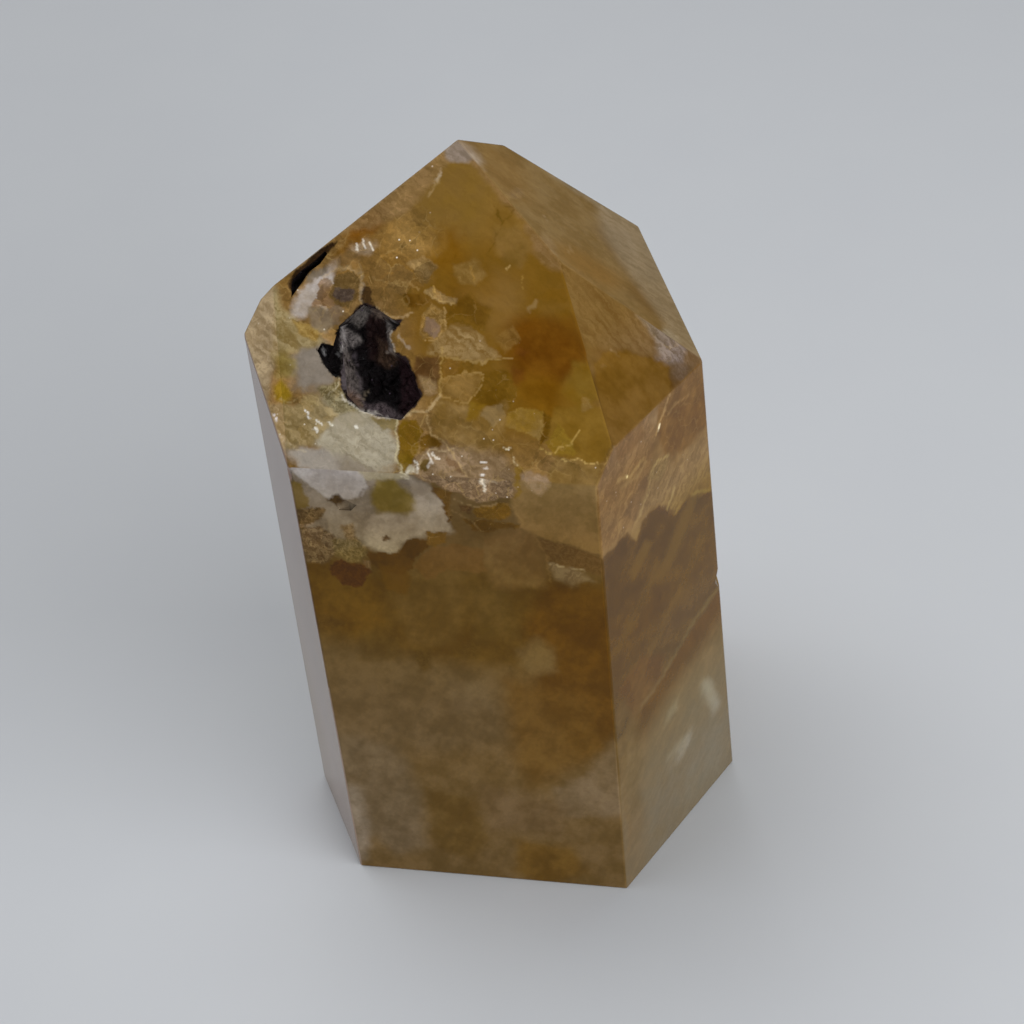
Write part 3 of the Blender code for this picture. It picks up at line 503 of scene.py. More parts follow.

# Cracks are lines: the colour, the width (mm), how strong it is, and the points that it runs through (mm).
# The short near-white strokes, mostly at strength 1.6, are painted glints.
CRACKS = {
    "front": [
        ("E8DED0", 0.35, 1.6, 3.9, 60.8, 3.6, 58.9, 3.6, 57.8),
        ("CDBBA4", 0.25, 0.7, 3.6, 59, 4.5, 59.2, 5.2, 58.9),
        ("5A4024", 0.22, 0.7, -3, 58.9, -1.3, 58.3, 0.6, 57.4, 1.8, 56.7),
        ("AC946C", 0.2, 0.6, 0.6, 56.5, 2.2, 55.5, 4.9, 56.2),
        ("9A8058", 0.2, 0.5, -0.4, 55, 1.8, 53.9, 2.7, 52.4),
        ("9A7C50", 0.3, 0.45, 6.9, 61, 6.6, 56.8, 7.2, 53.4, 8.7, 52, 9.4, 49.1, 9.6, 46.2),
        ("BFB09A", 0.25, 0.8, 9.6, 48.6, 11.8, 48.1, 13.4, 47.8),
        ("B09C8C", 0.25, 0.8, -16.9, 51.6, -15.4, 52.2),
        ("4A3A30", 0.22, 0.8, -9.9, 56.2, -9.2, 57.1, -8, 57.7),
        ("B8AEA4", 0.22, 0.8, -8.6, 49.2, -7.6, 49.6, -6.9, 49),
        ("DCD4C0", 0.3, 0.8, -4.8, 59.2, -4.2, 58.8, -4.3, 59.4),
    ],
    "right": [
        ("A8906C", 0.5, 0.8, -2.6, 58.4, -1.6, 59.6, 0.4, 61.8),
        ("9C8460", 0.4, 0.6, -0.2, 59.6, 1.4, 59.8, 4, 59.3),
        ("FFFFFF", 0.3, 1.6, -2.2, 58.6, -1.6, 59.2),
        ("FFFFFF", 0.3, 1.6, -8.6, 57.2, -8.2, 56.9),
        ("A09078", 0.6, 0.6, -9.8, 57.6, -8, 56.6, -5.4, 57),
        ("9A8A74", 0.6, 0.5, -9.4, 56.2, -6.4, 55.6, -5, 56.2),
        ("B4A68C", 0.35, 0.7, -4.2, 54.4, -2.4, 55, -0.6, 54.2),
        ("A49680", 0.4, 0.7, -1.4, 47.6, -0.4, 48.4, 0.2, 49.6),
        ("8E806C", 0.5, 0.7, 3.6, 46.2, 5.4, 45.2, 7.4, 43.8),
        ("7E705A", 0.8, 0.35, -9, 24.4, -4, 25.6, 0, 27.4, 4, 28.8, 9, 29.6),
        ("988A74", 0.4, 0.5, -7.2, 50, -5, 52.2, -3.4, 54.6),
        ("8E7A60", 0.5, 0.4, -10, 50, -10.6, 52.6, -9.8, 54.6),
    ],
    "front_slope": [
        ("F4F0E8", 0.22, 1.6, -16, 28.9, -15.5, 28.6),
        ("F4F0E8", 0.24, 1.6, -15.5, 28.3, -15.1, 27.9),
        ("E8E2D4", 0.22, 1.6, -14.6, 27.7, -14.2, 27.1),
        ("E8E2D4", 0.2, 1.6, -14.9, 26.9, -14.4, 26.4),
        ("E0DAC8", 0.18, 1.6, -13.5, 27.6, -12.9, 27.1),
        ("ECE6D8", 0.2, 1.6, -10.6, 27.3, -10.2, 26.9),
        ("E8E4DC", 0.24, 1.6, -19.5, 28.4, -19.2, 27.8),
        ("EEE4D2", 0.24, 1.6, -12.3, 46.6, -11.9, 46),
        ("F2E8D8", 0.26, 1.6, -11.4, 47, -11.1, 46.3),
        ("EADFCB", 0.24, 1.6, -10.6, 46.7, -10.3, 46),
        ("F2EAE0", 0.22, 1.6, 3.1, 24, 3.5, 23.9),
        ("F2EAE0", 0.22, 1.6, 3.3, 23.4, 3.7, 23.3),
        ("F2EAE0", 0.2, 1.6, 3.1, 22.8, 3.5, 22.7),
        ("E6DAC8", 0.22, 1.6, -2.5, 24.7, -2, 23.7),
        ("EDE4D4", 0.24, 1.6, -3.8, 24, -3.5, 23.2),
        ("E6DAC8", 0.2, 1.6, -2.1, 24.6, -1.4, 24.3),
        ("C09A50", 0.2, 0.8, -3.4, 42.4, -3.2, 41.2),
        ("A8803A", 0.18, 0.7, 0.4, 44.6, 0.8, 43.4, 0.6, 42.8),
        ("C8A868", 0.2, 0.8, 4, 44.4, 4.4, 44.8),
        ("A8843E", 0.16, 0.6, 5.6, 43.6, 6, 42.2),
        ("9A8258", 0.5, 0.6, 6.8, 40.2, 7.4, 41),
        ("D8D0C0", 0.25, 0.9, -12.4, 30.5, -10, 28.9, -7.5, 28.4, -5.6, 28.3),
        ("C8AE80", 0.3, 0.85, -5.6, 28.4, -4.4, 29, -3, 29.2, -1.8, 30.9),
        ("BFA270", 0.2, 0.75, -3.2, 29.2, -2.8, 27.6, -1.2, 26, 0, 24.8, 1.6, 22.4),
        ("D8CCA4", 0.28, 0.85, -6.2, 28.2, -5.9, 26.4, -5.8, 24, -5, 22.6, -3.8, 22.3),
        ("C4AC84", 0.2, 0.7, -3.6, 22.4, -3.2, 24.2, -2.2, 25, 0.4, 25.3),
        ("B89858", 0.18, 0.75, -1.9, 36, -1.95, 33.4, -1.9, 30.9),
        ("C0A468", 0.2, 0.5, -2.4, 34.95, 0.6, 34.56, 2.4, 34.44, 4.4, 35, 5.6, 35.1),
        ("B8985C", 0.18, 0.65, -1.9, 32.5, 0.6, 33.4, 2.4, 33.4, 2.4, 32, 1, 30, -0.8, 30.6, -1.9, 31),
        ("C8A85C", 0.2, 0.75, 9, 25.8, 10.2, 25.2, 11.2, 25.9, 12.4, 26.5, 12.8, 27.8),
        ("D8B870", 0.18, 0.85, 11.2, 24.7, 13.2, 24.6, 14.8, 24.3),
        ("C4A468", 0.18, 0.7, -4.4, 42, -3.2, 41, -1, 40.5),
        ("C0A068", 0.18, 0.7, -2, 40.2, -1.9, 38.2, -2.6, 36.7, -3.8, 36.5),
        ("B09468", 0.28, 0.7, -15.4, 43, -13.6, 44.1, -12.2, 43.8, -11.2, 42.9, -11.1, 41.4, -10.9, 40.3),
        ("C4A87C", 0.25, 0.7, -9.6, 40, -8.2, 39.2, -6.6, 38.8, -5.4, 39.6),
        ("B08A4C", 0.2, 0.6, -9.9, 44, -9.2, 45.4, -8.2, 45.2, -7, 46),
        ("B8955C", 0.2, 0.6, -10, 43.2, -8.4, 42.4, -6.4, 42.6, -5, 42),
        ("A88448", 0.18, 0.5, -8, 48.4, -6.8, 47.2, -5.4, 47.4, -4.6, 46),
        ("5C4008", 0.22, 0.6, 2, 46.2, 2.6, 47.4, 3.4, 49.4, 4.5, 50.9, 3.6, 50.9),
        ("B89C6C", 0.25, 0.6, -5, 52, -3.9, 53.6, -4, 54.3),
        ("B8AEA0", 0.25, 0.9, -7.5, 37.6, -7.4, 36.4, -7, 35.4),
        ("A89A88", 0.25, 0.8, -6.6, 37.2, -6.2, 36.2, -5.6, 35.6),
        ("DCD4C8", 0.25, 0.9, -2.6, 23.4, -2, 23.9),
        ("E0CFA8", 0.25, 1.6, 5.4, 25.6, 5.8, 25.6),
        ("D8C498", 0.2, 0.9, 6.2, 24.7, 6.7, 24),
        ("D8D0C0", 0.2, 0.9, -3.7, 23.4, -3.5, 22.4),
        ("C8B898", 0.2, 0.6, -19.3, 26.6, -17.6, 25.2, -15.4, 24.4),
        ("C8B47C", 0.2, 0.5, -19.4, 30, -17.8, 29.6, -16.2, 30.2, -14.6, 29.4),
        ("BFB496", 0.25, 0.7, -13.6, 30.4, -12.6, 31.6, -12.7, 32.4),
    ],
    "lining": [
        # Pale strokes on the dark mineral: partly its own pale fibres and partly painted highlights on its
        # broken faces and rim.
        ("8C827C", 0.4, 1.2, -7.8, 38.4, -7.7, 37.4, -7.6, 36.4, -7.4, 35.3),
        ("8C8078", 0.35, 1.2, -7.1, 37.2, -6.9, 36.4, -6.7, 35.3),
        ("94867A", 0.4, 1.2, -7.4, 35.3, -6.2, 34.9, -5.4, 34.3),
        ("989290", 0.3, 1.2, -13, 37.7, -12.5, 36.6, -12.5, 35),
        ("7A7272", 0.3, 1, -12.4, 33.6, -12.3, 32.6, -11.8, 31.6),
        ("4E464A", 0.25, 0.8, -11.2, 35, -10.8, 33, -10.2, 31.2),
        ("6A5E5C", 0.25, 0.9, -11.6, 31, -10.6, 30.5, -9.9, 30.2),
        ("6E6252", 0.22, 1, -9.4, 31, -9.8, 30, -10, 29.4),
        ("B4ACA4", 0.3, 1.4, -10, 28.9, -8.6, 28.6, -7, 28.2, -5.6, 27.9),
        ("7A7878", 0.3, 1.2, -14.9, 35.4, -14.6, 34.9),
        ("6A6868", 0.25, 1, -13.1, 34.9, -12.8, 34.7),
    ],
}
# How far a crack at full strength hides the stone, and where across its half width it starts to fade.
CRACK_COVER = 0.65
CRACK_FADE = 1.3

# How light and how warm each facet runs, as heights up it (mm) with a share of red, green and blue. Beside
# the stone's own tone this is painted light and shade: a facet is made lighter or darker, warmer or cooler,
# up its height for how the light and its reflections fall on it.
TONE_AND_PAINTED_LIGHT = {
    "front": [
        (6, 1.08, 1.03, 0.96), (15, 1.13, 1.07, 0.96), (27, 1.05, 0.95, 0.74), (39, 0.99, 0.86, 0.46),
        (46, 0.86, 0.76, 0.44), (52, 0.78, 0.68, 0.48), (57, 0.84, 0.79, 0.68), (60, 0.94, 0.92, 0.86),
    ],
    "right": [
        (8, 1.05, 1.06, 1.07), (22, 1.07, 1.08, 0.86), (36, 0.94, 0.74, 0.05), (45, 0.87, 0.72, 0.16),
        (50, 0.92, 0.79, 0.46), (57, 0.81, 0.65, 0.3), (63, 0.95, 0.86, 0.7),
    ],
    "left": [(12, 1.04, 0.84, 0.7), (30, 0.97, 0.81, 0.7), (49, 0.83, 0.65, 0.56)],
    "right_slope": [(28, 0.7, 0.68, 0.86), (38, 0.77, 0.7, 0.5)],
    "back_right_slope": [(32, 0.93, 0.9, 0.76), (40, 1.0, 1.0, 0.94), (48, 1.08, 1.09, 1.06)],
    "left_slope": [(30, 1.45, 1.4, 1.55)],
}

# What shows on this small facet runs on from a larger one.
RUNS_ON = {"left_slope": "front_slope"}

# A soft outline swells over this length by this much (mm), and others break over this length by this much.
# An angular one is also drawn toward the middles of flakes of this size (mm), by this share.
SWELL_SIZE, SWELL = 6.25, 1.6
BREAK_SIZE, BREAKS = 4 / 3, {"chipped": 0.3, "ragged": 0.5, "angular": 0.4}
FLAKE_SIZE, FLAKE_SHARE = 1.6129, 0.6

# What each face corner of the tower carries for the material.
LAYERS = ("first", "second", "fields", "feel", "grow")
FIELDS = ("cloud", "grain", "cell", "streak")
# How big each pattern in the stone is (mm). A streak is as wide as this says and this many times as long.
SIZES = {
    "rough": 1.333, "cloud": 2.941, "grain": 0.5263, "flake": 1.818, "streak": 0.625, "glint": 0.7692,
    "polish": 8.333,
}
STREAK_LENGTH = 9.0
# Streaks run along a facet, turned this far from across (degrees), and straight up the rest.
STREAK_TURNS = {"front_slope": -33, "right": 38, "front": 62}
STRAIGHT_UP = 90

# How much of the light goes through the clearest quartz.
CLEARNESS = 0.3

# The Mix node keeps its sockets for each data type at fixed places.
FACTOR, COLOUR_A, COLOUR_B = 0, 6, 7
MIXED = {"data_type": "RGBA"}
SHADED = {"data_type": "RGBA", "blend_type": "MULTIPLY"}
TIMES = {"operation": "MULTIPLY"}
SMOOTH = {"interpolation_type": "SMOOTHSTEP"}

# The hollows with dark mineral on the front slope: the middle of each and its reach (mm). Their lining
# starts this far under the facet and ends within this depth (mm), and is crusted this high at this size.
DARK_HOLLOWS = {
    "vug": ((-8.5, 34.1), 7.6),
    "black_patch": ((-13.8, 34.9), 4.2),
    "ridge_slit": ((-17.0, 43.6), 4.4),
}
LINING_FROM, LINING_TO = 0.14, 4.0
CRUST_HEIGHT = 0.22 * MM
CRUST_SIZE = 0.5 * MM
# Its marks run into the stone at this slant (across, up and out of the front slope, for each mm of depth).
LINING_SLANT = (0.27, -0.23, 0.0)

# Two directions are the same where their cosine is over this, and a face is on a facet within this (mm).
SAME_WAY = 0.9999
ON_FACET = 0.02

# The camera looks down at the tower from its front, a little to the right, and is rolled (degrees).
VIEW_TURN = -73.89
VIEW_HEIGHT = 39.19
VIEW_ROLL = -6.52
VIEW_DISTANCE = 273.0 * MM
VIEW_AIM = Vector((0.8, -1.3, 38.2)) * MM
SENSOR = 36.0
LENS = 84.4
NEAREST = 10 * MM

FLOOR_HALF = 6.0
PAPER_MOTTLE = 16.67 * MM

# Each soft light faces the tower: its turn round Z from +X and its height (degrees), how far off it is and
# its width and depth (m), and its power (W).
LIGHTS = {
    "window": (-29, 17, 0.6, 0.8, 0.3, 5.4),
    "ceiling": (138, 70, 0.6, 0.5, 0.5, 2.05),
    "left_fill": (205, 14, 0.5, 0.5, 0.3, 0.5),
}
SKY = "F3FBFF"
SKY_STRENGTH = 0.06


def toward(turn, height):
    """The way out from the origin, turned round Z from +X and raised from level (degrees)."""
    turn = math.radians(turn)
    height = math.radians(height)
    return Vector((math.cos(height) * math.cos(turn), math.cos(height) * math.sin(turn), math.sin(height)))


def facet_frame(name):
    """A facet's middle (mm) and its axes: across, up and out."""
    turn, lean, distance = FACETS[name]
    out = toward(turn, lean)
    across = Vector((0, 0, 1)).cross(out).normalized()
    return out * distance, Matrix((across, out.cross(across), out)).transposed()


def to_linear(value):
    """An sRGB hex colour, such as "C8A878", as linear RGBA."""
    channels = [int(value[place:place + 2], 16) / 255 for place in (0, 2, 4)]
    return tuple(c / 12.92 if c <= 0.04045 else ((c + 0.055) / 1.055) ** 2.4 for c in channels) + (1.0,)


def add(tree, kind, settings=None, inputs=None):
    """Adds a node with its settings. An input takes a value, a socket, or a node's first live output."""
    made = tree.nodes.new(kind)
    for name, value in (settings or {}).items():
        setattr(made, name, value)
    for name, value in (inputs or {}).items():
        if isinstance(value, bpy.types.Node):
            value = next(socket for socket in value.outputs if socket.enabled)
        if isinstance(value, bpy.types.NodeSocket):
            tree.links.new(value, made.inputs[name])
        else:
            made.inputs[name].default_value = value
    return made


def ground():
    """A node group: the fields that mix colours, and the cracks, painted glints and polish of the stone."""
    tree = bpy.data.node_groups.new("quartz ground", "ShaderNodeTree")
    scale = {name: 1 / size for name, size in SIZES.items()}
    here = add(tree, "ShaderNodeTexCoord").outputs["Object"]
    still = add(tree, "ShaderNodeVectorMath", {"operation": "SCALE"}, {0: here, "Scale": 1 / MM})
    # Broken edges in the quartz are rough, and flakes less so.
    rough = add(tree, "ShaderNodeTexNoise", None, {
        "Vector": still, "Scale": scale["rough"], "Detail": 3.0, "Roughness": 0.62,
    })
    ragged, broken = (add(tree, "ShaderNodeVectorMath", {"operation": "MULTIPLY_ADD"}, {
        0: rough.outputs["Color"], 1: (reach, reach, reach), 2: still,
    }) for reach in (2.0, 1.1))
    # Streaks are noise drawn out along the way the stone grew.
    grow = add(tree, "ShaderNodeAttribute", {"attribute_name": "grow"}).outputs["Vector"]
    along = add(tree, "ShaderNodeVectorMath", {"operation": "DOT_PRODUCT"}, {0: ragged, 1: grow})
    shrink = add(tree, "ShaderNodeMath", TIMES, {0: along, 1: 1 / STREAK_LENGTH - 1})
    shift = add(tree, "ShaderNodeVectorMath", {"operation": "SCALE"}, {0: grow, "Scale": shrink})
    drawn = add(tree, "ShaderNodeVectorMath", {"operation": "ADD"}, {0: shift, 1: ragged})
    # Each of these is noise: where it lies, its detail and roughness, and the stretch of it that shows.
    noises, made = {}, {}
    for name, place, detail, roughness, low, high in (
        ("cloud", still, 3.0, 0.6, 0.3, 0.7),
        ("grain", ragged, 3.0, 0.66, 0.36, 0.66),
        ("streak", drawn, 2.0, 0.6, 0.3, 0.7),
    ):
        noises[name] = add(tree, "ShaderNodeTexNoise", None, {
            "Vector": place, "Scale": scale[name], "Detail": detail, "Roughness": roughness,
        })
        made[name] = add(tree, "ShaderNodeMapRange", SMOOTH, {
            "Value": noises[name], "From Min": low, "From Max": high,
        })
    made["polish"] = add(tree, "ShaderNodeTexNoise", None, {
        "Vector": still, "Scale": scale["polish"], "Detail": 1.0,
    })
    flakes = add(tree, "ShaderNodeTexVoronoi", None, {"Vector": broken, "Scale": scale["flake"]})
    made["cell"] = add(tree, "ShaderNodeSeparateColor", None, {"Color": flakes.outputs["Color"]})
    net = add(tree, "ShaderNodeTexVoronoi", {"feature": "DISTANCE_TO_EDGE"}, {
        "Vector": broken, "Scale": scale["flake"],
    })
    winding = add(tree, "ShaderNodeMath", {"operation": "PINGPONG"}, {0: noises["grain"], 1: 0.1})
    specks = add(tree, "ShaderNodeTexVoronoi", None, {"Vector": still, "Scale": scale["glint"]})
    chance = add(tree, "ShaderNodeSeparateColor", None, {"Color": specks.outputs["Color"]}).outputs["Green"]
    # Cracks are thin pale sheets between flakes, and finer ones wind through them. Glints are painted
    # highlights: pale specks under 0.2 mm across, where crack faces would catch the light. For each: how near
    # one is, its strength, where it starts to fade and ends, and where there are any.
    thin = []
    for near, strength, full, gone, where, low, high in (
        (net, 1.0, 0.0, 0.055, rough, 0.44, 0.56),
        (winding, 0.6, 0.0, 0.014, noises["cloud"], 0.46, 0.56),
        (specks, 1.0, 0.06, 0.17, chance, 0.82, 0.88),
    ):
        close = add(tree, "ShaderNodeMapRange", SMOOTH, {
            "Value": near, "From Min": full, "From Max": gone, "To Min": strength, "To Max": 0.0,
        })
        some = add(tree, "ShaderNodeMapRange", SMOOTH, {"Value": where, "From Min": low, "From Max": high})
        thin.append(add(tree, "ShaderNodeMath", TIMES, {0: close, 1: some}))
    coarse, fine, made["painted_glints"] = thin
    made["cracks"] = add(tree, "ShaderNodeMath", {"operation": "MAXIMUM"}, {0: coarse, 1: fine})
    for name in made:
        tree.interface.new_socket(name, in_out="OUTPUT", socket_type="NodeSocketFloat")
    add(tree, "NodeGroupOutput", None, made)
    return tree


def empty_material(name):
    """A material with no nodes yet."""
    mat = bpy.data.materials.new(name)
    mat.use_nodes = True
    mat.node_tree.nodes.clear()
    return mat


def golden_quartz():
    """Golden healer quartz, ground and polished: milky to clear honey stone, iron stain and pale cracks.

    It gives the eye a soft deep gold that light enters, under a thin glassy shine.
    """
    mat = empty_material("golden healer quartz, polished")
    tree = mat.node_tree
    stone = add(tree, "ShaderNodeGroup", {"node_tree": ground()}).outputs
    # The markings on the mesh say which two colours mix here, by which fields, and how the stone feels.
    first, second, fields, feel = (
        add(tree, "ShaderNodeAttribute", {"attribute_name": name}).outputs for name in LAYERS[:4]
    )
    levels = add(tree, "ShaderNodeCombineXYZ", None, {
        axis: stone[name] for axis, name in zip("XYZ", FIELDS)
    })
    bodied = add(tree, "ShaderNodeVectorMath", {"operation": "DOT_PRODUCT"}, {
        0: fields["Vector"], 1: levels,
    })
    share = add(tree, "ShaderNodeMath", {"operation": "MULTIPLY_ADD", "use_clamp": True}, {
        0: fields["Alpha"], 1: stone["streak"], 2: bodied,
    })
    colour = add(tree, "ShaderNodeMix", MIXED, {
        FACTOR: share, COLOUR_A: first["Color"], COLOUR_B: second["Color"],
    })
    felt = add(tree, "ShaderNodeSeparateColor", None, {"Color": feel["Color"]}).outputs
    cracked, grainy, clear = felt["Red"], felt["Green"], felt["Blue"]
    broken = add(tree, "ShaderNodeMapRange", None, {"Value": cracked, "To Min": 0.35, "To Max": 1.0})
    # Grain shades grainy stone. Faint fibres and clouds run through all of it, and stand out where it is
    # cracked. Each flake of cracked stone has its own tone.
    for factor, name, low, high in (
        (grainy, "grain", 0.72, 1.22),
        (broken, "streak", 0.82, 1.18),
        (broken, "cloud", 0.82, 1.18),
        (cracked, "cell", 0.7, 1.14),
    ):
        tone = add(tree, "ShaderNodeMapRange", None, {"Value": stone[name], "To Min": low, "To Max": high})
        colour = add(tree, "ShaderNodeMix", SHADED, {FACTOR: factor, COLOUR_A: colour, COLOUR_B: tone})
    # Pale cracks are the stone's own colour; the glints are painted highlights, pale specks mixed into it.
    for name, strength, tint in (("cracks", 0.36, "B2935A"), ("painted_glints", 1.0, "F4ECDC")):
        shown = add(tree, "ShaderNodeMath", TIMES, {0: stone[name], 1: cracked})
        shown = add(tree, "ShaderNodeMath", TIMES, {0: shown, 1: strength})
        colour = add(tree, "ShaderNodeMix", MIXED, {
            FACTOR: shown, COLOUR_A: colour, COLOUR_B: to_linear(tint),
        })
    # Clear quartz is painted up to 1.35 times lighter: a painted glow for light that shines through it.
    painted_glow = add(tree, "ShaderNodeMapRange", None, {
        "Value": clear, "From Min": 0.5, "To Min": 1.0, "To Max": 1.35,
    })
    colour = add(tree, "ShaderNodeMix", SHADED, {FACTOR: 1.0, COLOUR_A: colour, COLOUR_B: painted_glow})
    shine = add(tree, "ShaderNodeMapRange", None, {"Value": stone["polish"], "To Min": 0.05, "To Max": 0.14})
    through = add(tree, "ShaderNodeMath", TIMES, {0: clear, 1: CLEARNESS})
    shader = add(tree, "ShaderNodeBsdfPrincipled", None, {
        "Base Color": colour, "Roughness": shine, "IOR": 1.544, "Specular IOR Level": 0.15,
        "Specular Tint": to_linear("FFE7B3"), "Transmission Weight": through,
    })
    # Iron in the quartz takes out blue first, then green, over a path of about 25 mm.
    honey = add(tree, "ShaderNodeVolumeAbsorption", None, {"Color": to_linear("F9DD90"), "Density": 60.0})
    add(tree, "ShaderNodeOutputMaterial", None, {"Surface": shader, "Volume": honey})
    return mat


def dark_lining():
    """Dark iron-rich mineral left rough where it broke out.

    It gives the eye purple-brown to black fibres with dull painted glints.
    """
    mat = empty_material("iron-rich mineral, broken")
    tree = mat.node_tree
    stone = add(tree, "ShaderNodeGroup", {"node_tree": bpy.data.node_groups["quartz ground"]}).outputs
    first, second = (add(tree, "ShaderNodeAttribute", {"attribute_name": name}) for name in LAYERS[:2])
    fibres = add(tree, "ShaderNodeMath", {"operation": "MAXIMUM"}, {0: stone["grain"], 1: stone["streak"]})
    colour = add(tree, "ShaderNodeMix", MIXED, {FACTOR: fibres, COLOUR_A: first, COLOUR_B: second})
    # Dull glints: painted highlights mixed into the colour.
    lit = add(tree, "ShaderNodeMix", MIXED, {
        FACTOR: stone["painted_glints"], COLOUR_A: colour, COLOUR_B: to_linear("4C404C"),
    })
    rough = add(tree, "ShaderNodeMapRange", None, {"Value": stone["grain"], "To Min": 0.35, "To Max": 0.8})
    bump = add(tree, "ShaderNodeBump", None, {
        "Height": stone["grain"], "Strength": 0.6, "Distance": 0.2 * MM,
    })
    shader = add(tree, "ShaderNodeBsdfPrincipled", None, {
        "Base Color": lit, "Roughness": rough, "IOR": 1.6, "Specular IOR Level": 0.05, "Normal": bump,
    })
    add(tree, "ShaderNodeOutputMaterial", None, {"Surface": shader})
    return mat


def paper():
    """Matt off-white paper, very faintly mottled, which spreads the light evenly."""
    mat = empty_material("matt paper")
    tree = mat.node_tree
    here = add(tree, "ShaderNodeTexCoord").outputs["Object"]
    fibre = add(tree, "ShaderNodeTexNoise", None, {"Vector": here, "Scale": 1 / PAPER_MOTTLE, "Detail": 3.0})
    tint = add(tree, "ShaderNodeMix", MIXED, {
        FACTOR: fibre, COLOUR_A: to_linear("CACDD2"), COLOUR_B: to_linear("CDD0D4"),
    })
    shader = add(tree, "ShaderNodeBsdfPrincipled", None, {"Base Color": tint, "Roughness": 0.9})
    add(tree, "ShaderNodeOutputMaterial", None, {"Surface": shader})
    return mat


def as_object(name, data):
    """An object in the scene that shows this data."""
    made = bpy.data.objects.new(name, data)
    bpy.context.scene.collection.objects.link(made)
    return made


def spacing_at(facet, up):
    """How far apart points lie at a height up a facet (mm)."""
    return [apart for start, apart in SPACING[facet].items() if up >= start][-1]


def on_facet(facet, points):
    """Where points (mm) lie on a facet: across it and up it."""
    middle, axes = facet_frame(facet)
    return (points - np.array(middle)) @ np.array(axes)[:, :2]


def facet_of(face):
    """The facet that a flat face lies on, or None."""
    for name in FACETS:
        middle, axes = facet_frame(name)
        out = axes.col[2]
        height = (face.calc_center_median() / MM - middle).dot(out)
        if face.normal.dot(out) > SAME_WAY and abs(height) < ON_FACET:
            return name
    return None


def edges_of(faces):
    """The edges of faces, each once, in a set order."""
    return list(dict.fromkeys(edge for face in faces for edge in face.edges))


def divide(edge, spacing):
    """Cuts an edge into pieces as long as spacing(point) says."""
    start = edge.verts[0]
    while True:
        share = spacing(np.array(start.co) / MM) * MM / edge.calc_length()
        if share > LARGEST_CUT:
            return
        start = bmesh.utils.edge_split(edge, start, share)[1]


def crosses(points, starts, ends):
    """Which points outlines hold: those whose ray to the right crosses them an odd number of times."""
    odd = np.zeros(len(points), bool)
    for (x0, y0), (x1, y1) in zip(starts, ends):
        if y0 != y1:
            spans = (points[:, 1] > y0) != (points[:, 1] > y1)
            odd ^= spans & (points[:, 0] < x0 + (points[:, 1] - y0) * (x1 - x0) / (y1 - y0))
    return odd


def refine(bm, faces, origin, axes, spacing):
    """Swaps flat faces for even triangles on the same rim, as far apart as spacing(up) says."""
    inside = set(faces)
    rim = [edge for edge in edges_of(faces) if len(faces) == 1 or not set(edge.link_faces) <= inside]
    verts = list(dict.fromkeys(vert for edge in rim for vert in edge.verts))
    place = {vert: index for index, vert in enumerate(verts)}
    sides = [(place[edge.verts[0]], place[edge.verts[1]]) for edge in rim]
    flat = (np.array([vert.co for vert in verts]) / MM - np.array(origin)) @ np.array(axes)[:, :2]
    starts, ends = (flat[list(side)] for side in zip(*sides))
    low = flat.min(axis=0)
    high = flat.max(axis=0)
    grid = []
    up = low[1]
    while up < high[1]:
        apart = spacing(up)
        across = np.arange(low[0] + apart / 2 * (len(grid) % 2), high[0], apart)
        grid.append(np.stack([across, np.full(len(across), up)], axis=1))
        up += apart * math.sqrt(3) / 2
    grid = np.concatenate(grid)
    near = kdtree.KDTree(len(flat))
    for index, point in enumerate(flat):
        near.insert((*point, 0), index)
    near.balance()
    kept = [
        Vector(point) for point in grid[crosses(grid, starts, ends)]
        if near.find((*point, 0))[2] > RIM_GAP * spacing(point[1])
    ]
    points, _, triangles, sources, *_ = delaunay_2d_cdt(
        list(map(Vector, flat)) + kept, sides, [], WITHIN_HULL, FACET_MERGED
    )
    if len(faces) == 1:
        bm.faces.remove(faces[0])
    else:
        bmesh.ops.delete(bm, geom=faces, context="FACES_KEEP_BOUNDARY")
    corners = [
        verts[source[0]] if source and source[0] < len(verts)
        else bm.verts.new((origin + axes @ point.to_3d()) * MM)
        for point, source in zip(points, sources)
    ]
    triangles = np.array(triangles)
    held = crosses(np.array(points)[triangles].mean(axis=1), starts, ends)
    return [bm.faces.new([corners[index] for index in triangle]) for triangle in triangles[held]]


def bend(points, flow):
    """Points (mm) moved the way outlines run in the stone: slow swells, ragged breaks, or flat flakes."""
    if flow == "still":
        return points
    bent = []
    for point in map(Vector, points):
        if flow == "soft":
            bent.append(point + SWELL * noise.noise_vector(point / SWELL_SIZE))
            continue
        way = noise.turbulence_vector(point / BREAK_SIZE, 4, False, amplitude_scale=0.6)
        ragged = point + BREAKS[flow] * way
        if flow == "angular":
            flake = noise.voronoi(ragged / FLAKE_SIZE)[1][0] * FLAKE_SIZE
            ragged = ragged.lerp(flake, FLAKE_SHARE)
        bent.append(ragged)
    return np.array(bent)


def apart_from(points, starts, ends):
    """How far points lie from the nearest of some lines."""
    nearest = np.full(len(points), np.inf)
    for start, run in zip(starts, ends - starts):
        share = np.clip((points - start) @ run / (run @ run), 0, 1)
        nearest = np.minimum(nearest, np.hypot(*(points - start - share[:, None] * run).T))
    return nearest


def in_blotch(points, fade, across, up, length, width, turn):
    """How far a blotch covers points, before its limits of 0 and 1."""
    turn = math.radians(turn)
    away = points - (across, up)
    along = away @ (math.cos(turn), math.sin(turn)) / length
    beside = away @ (-math.sin(turn), math.cos(turn)) / width
    return (1 + fade - np.hypot(along, beside)) / (2 * fade)


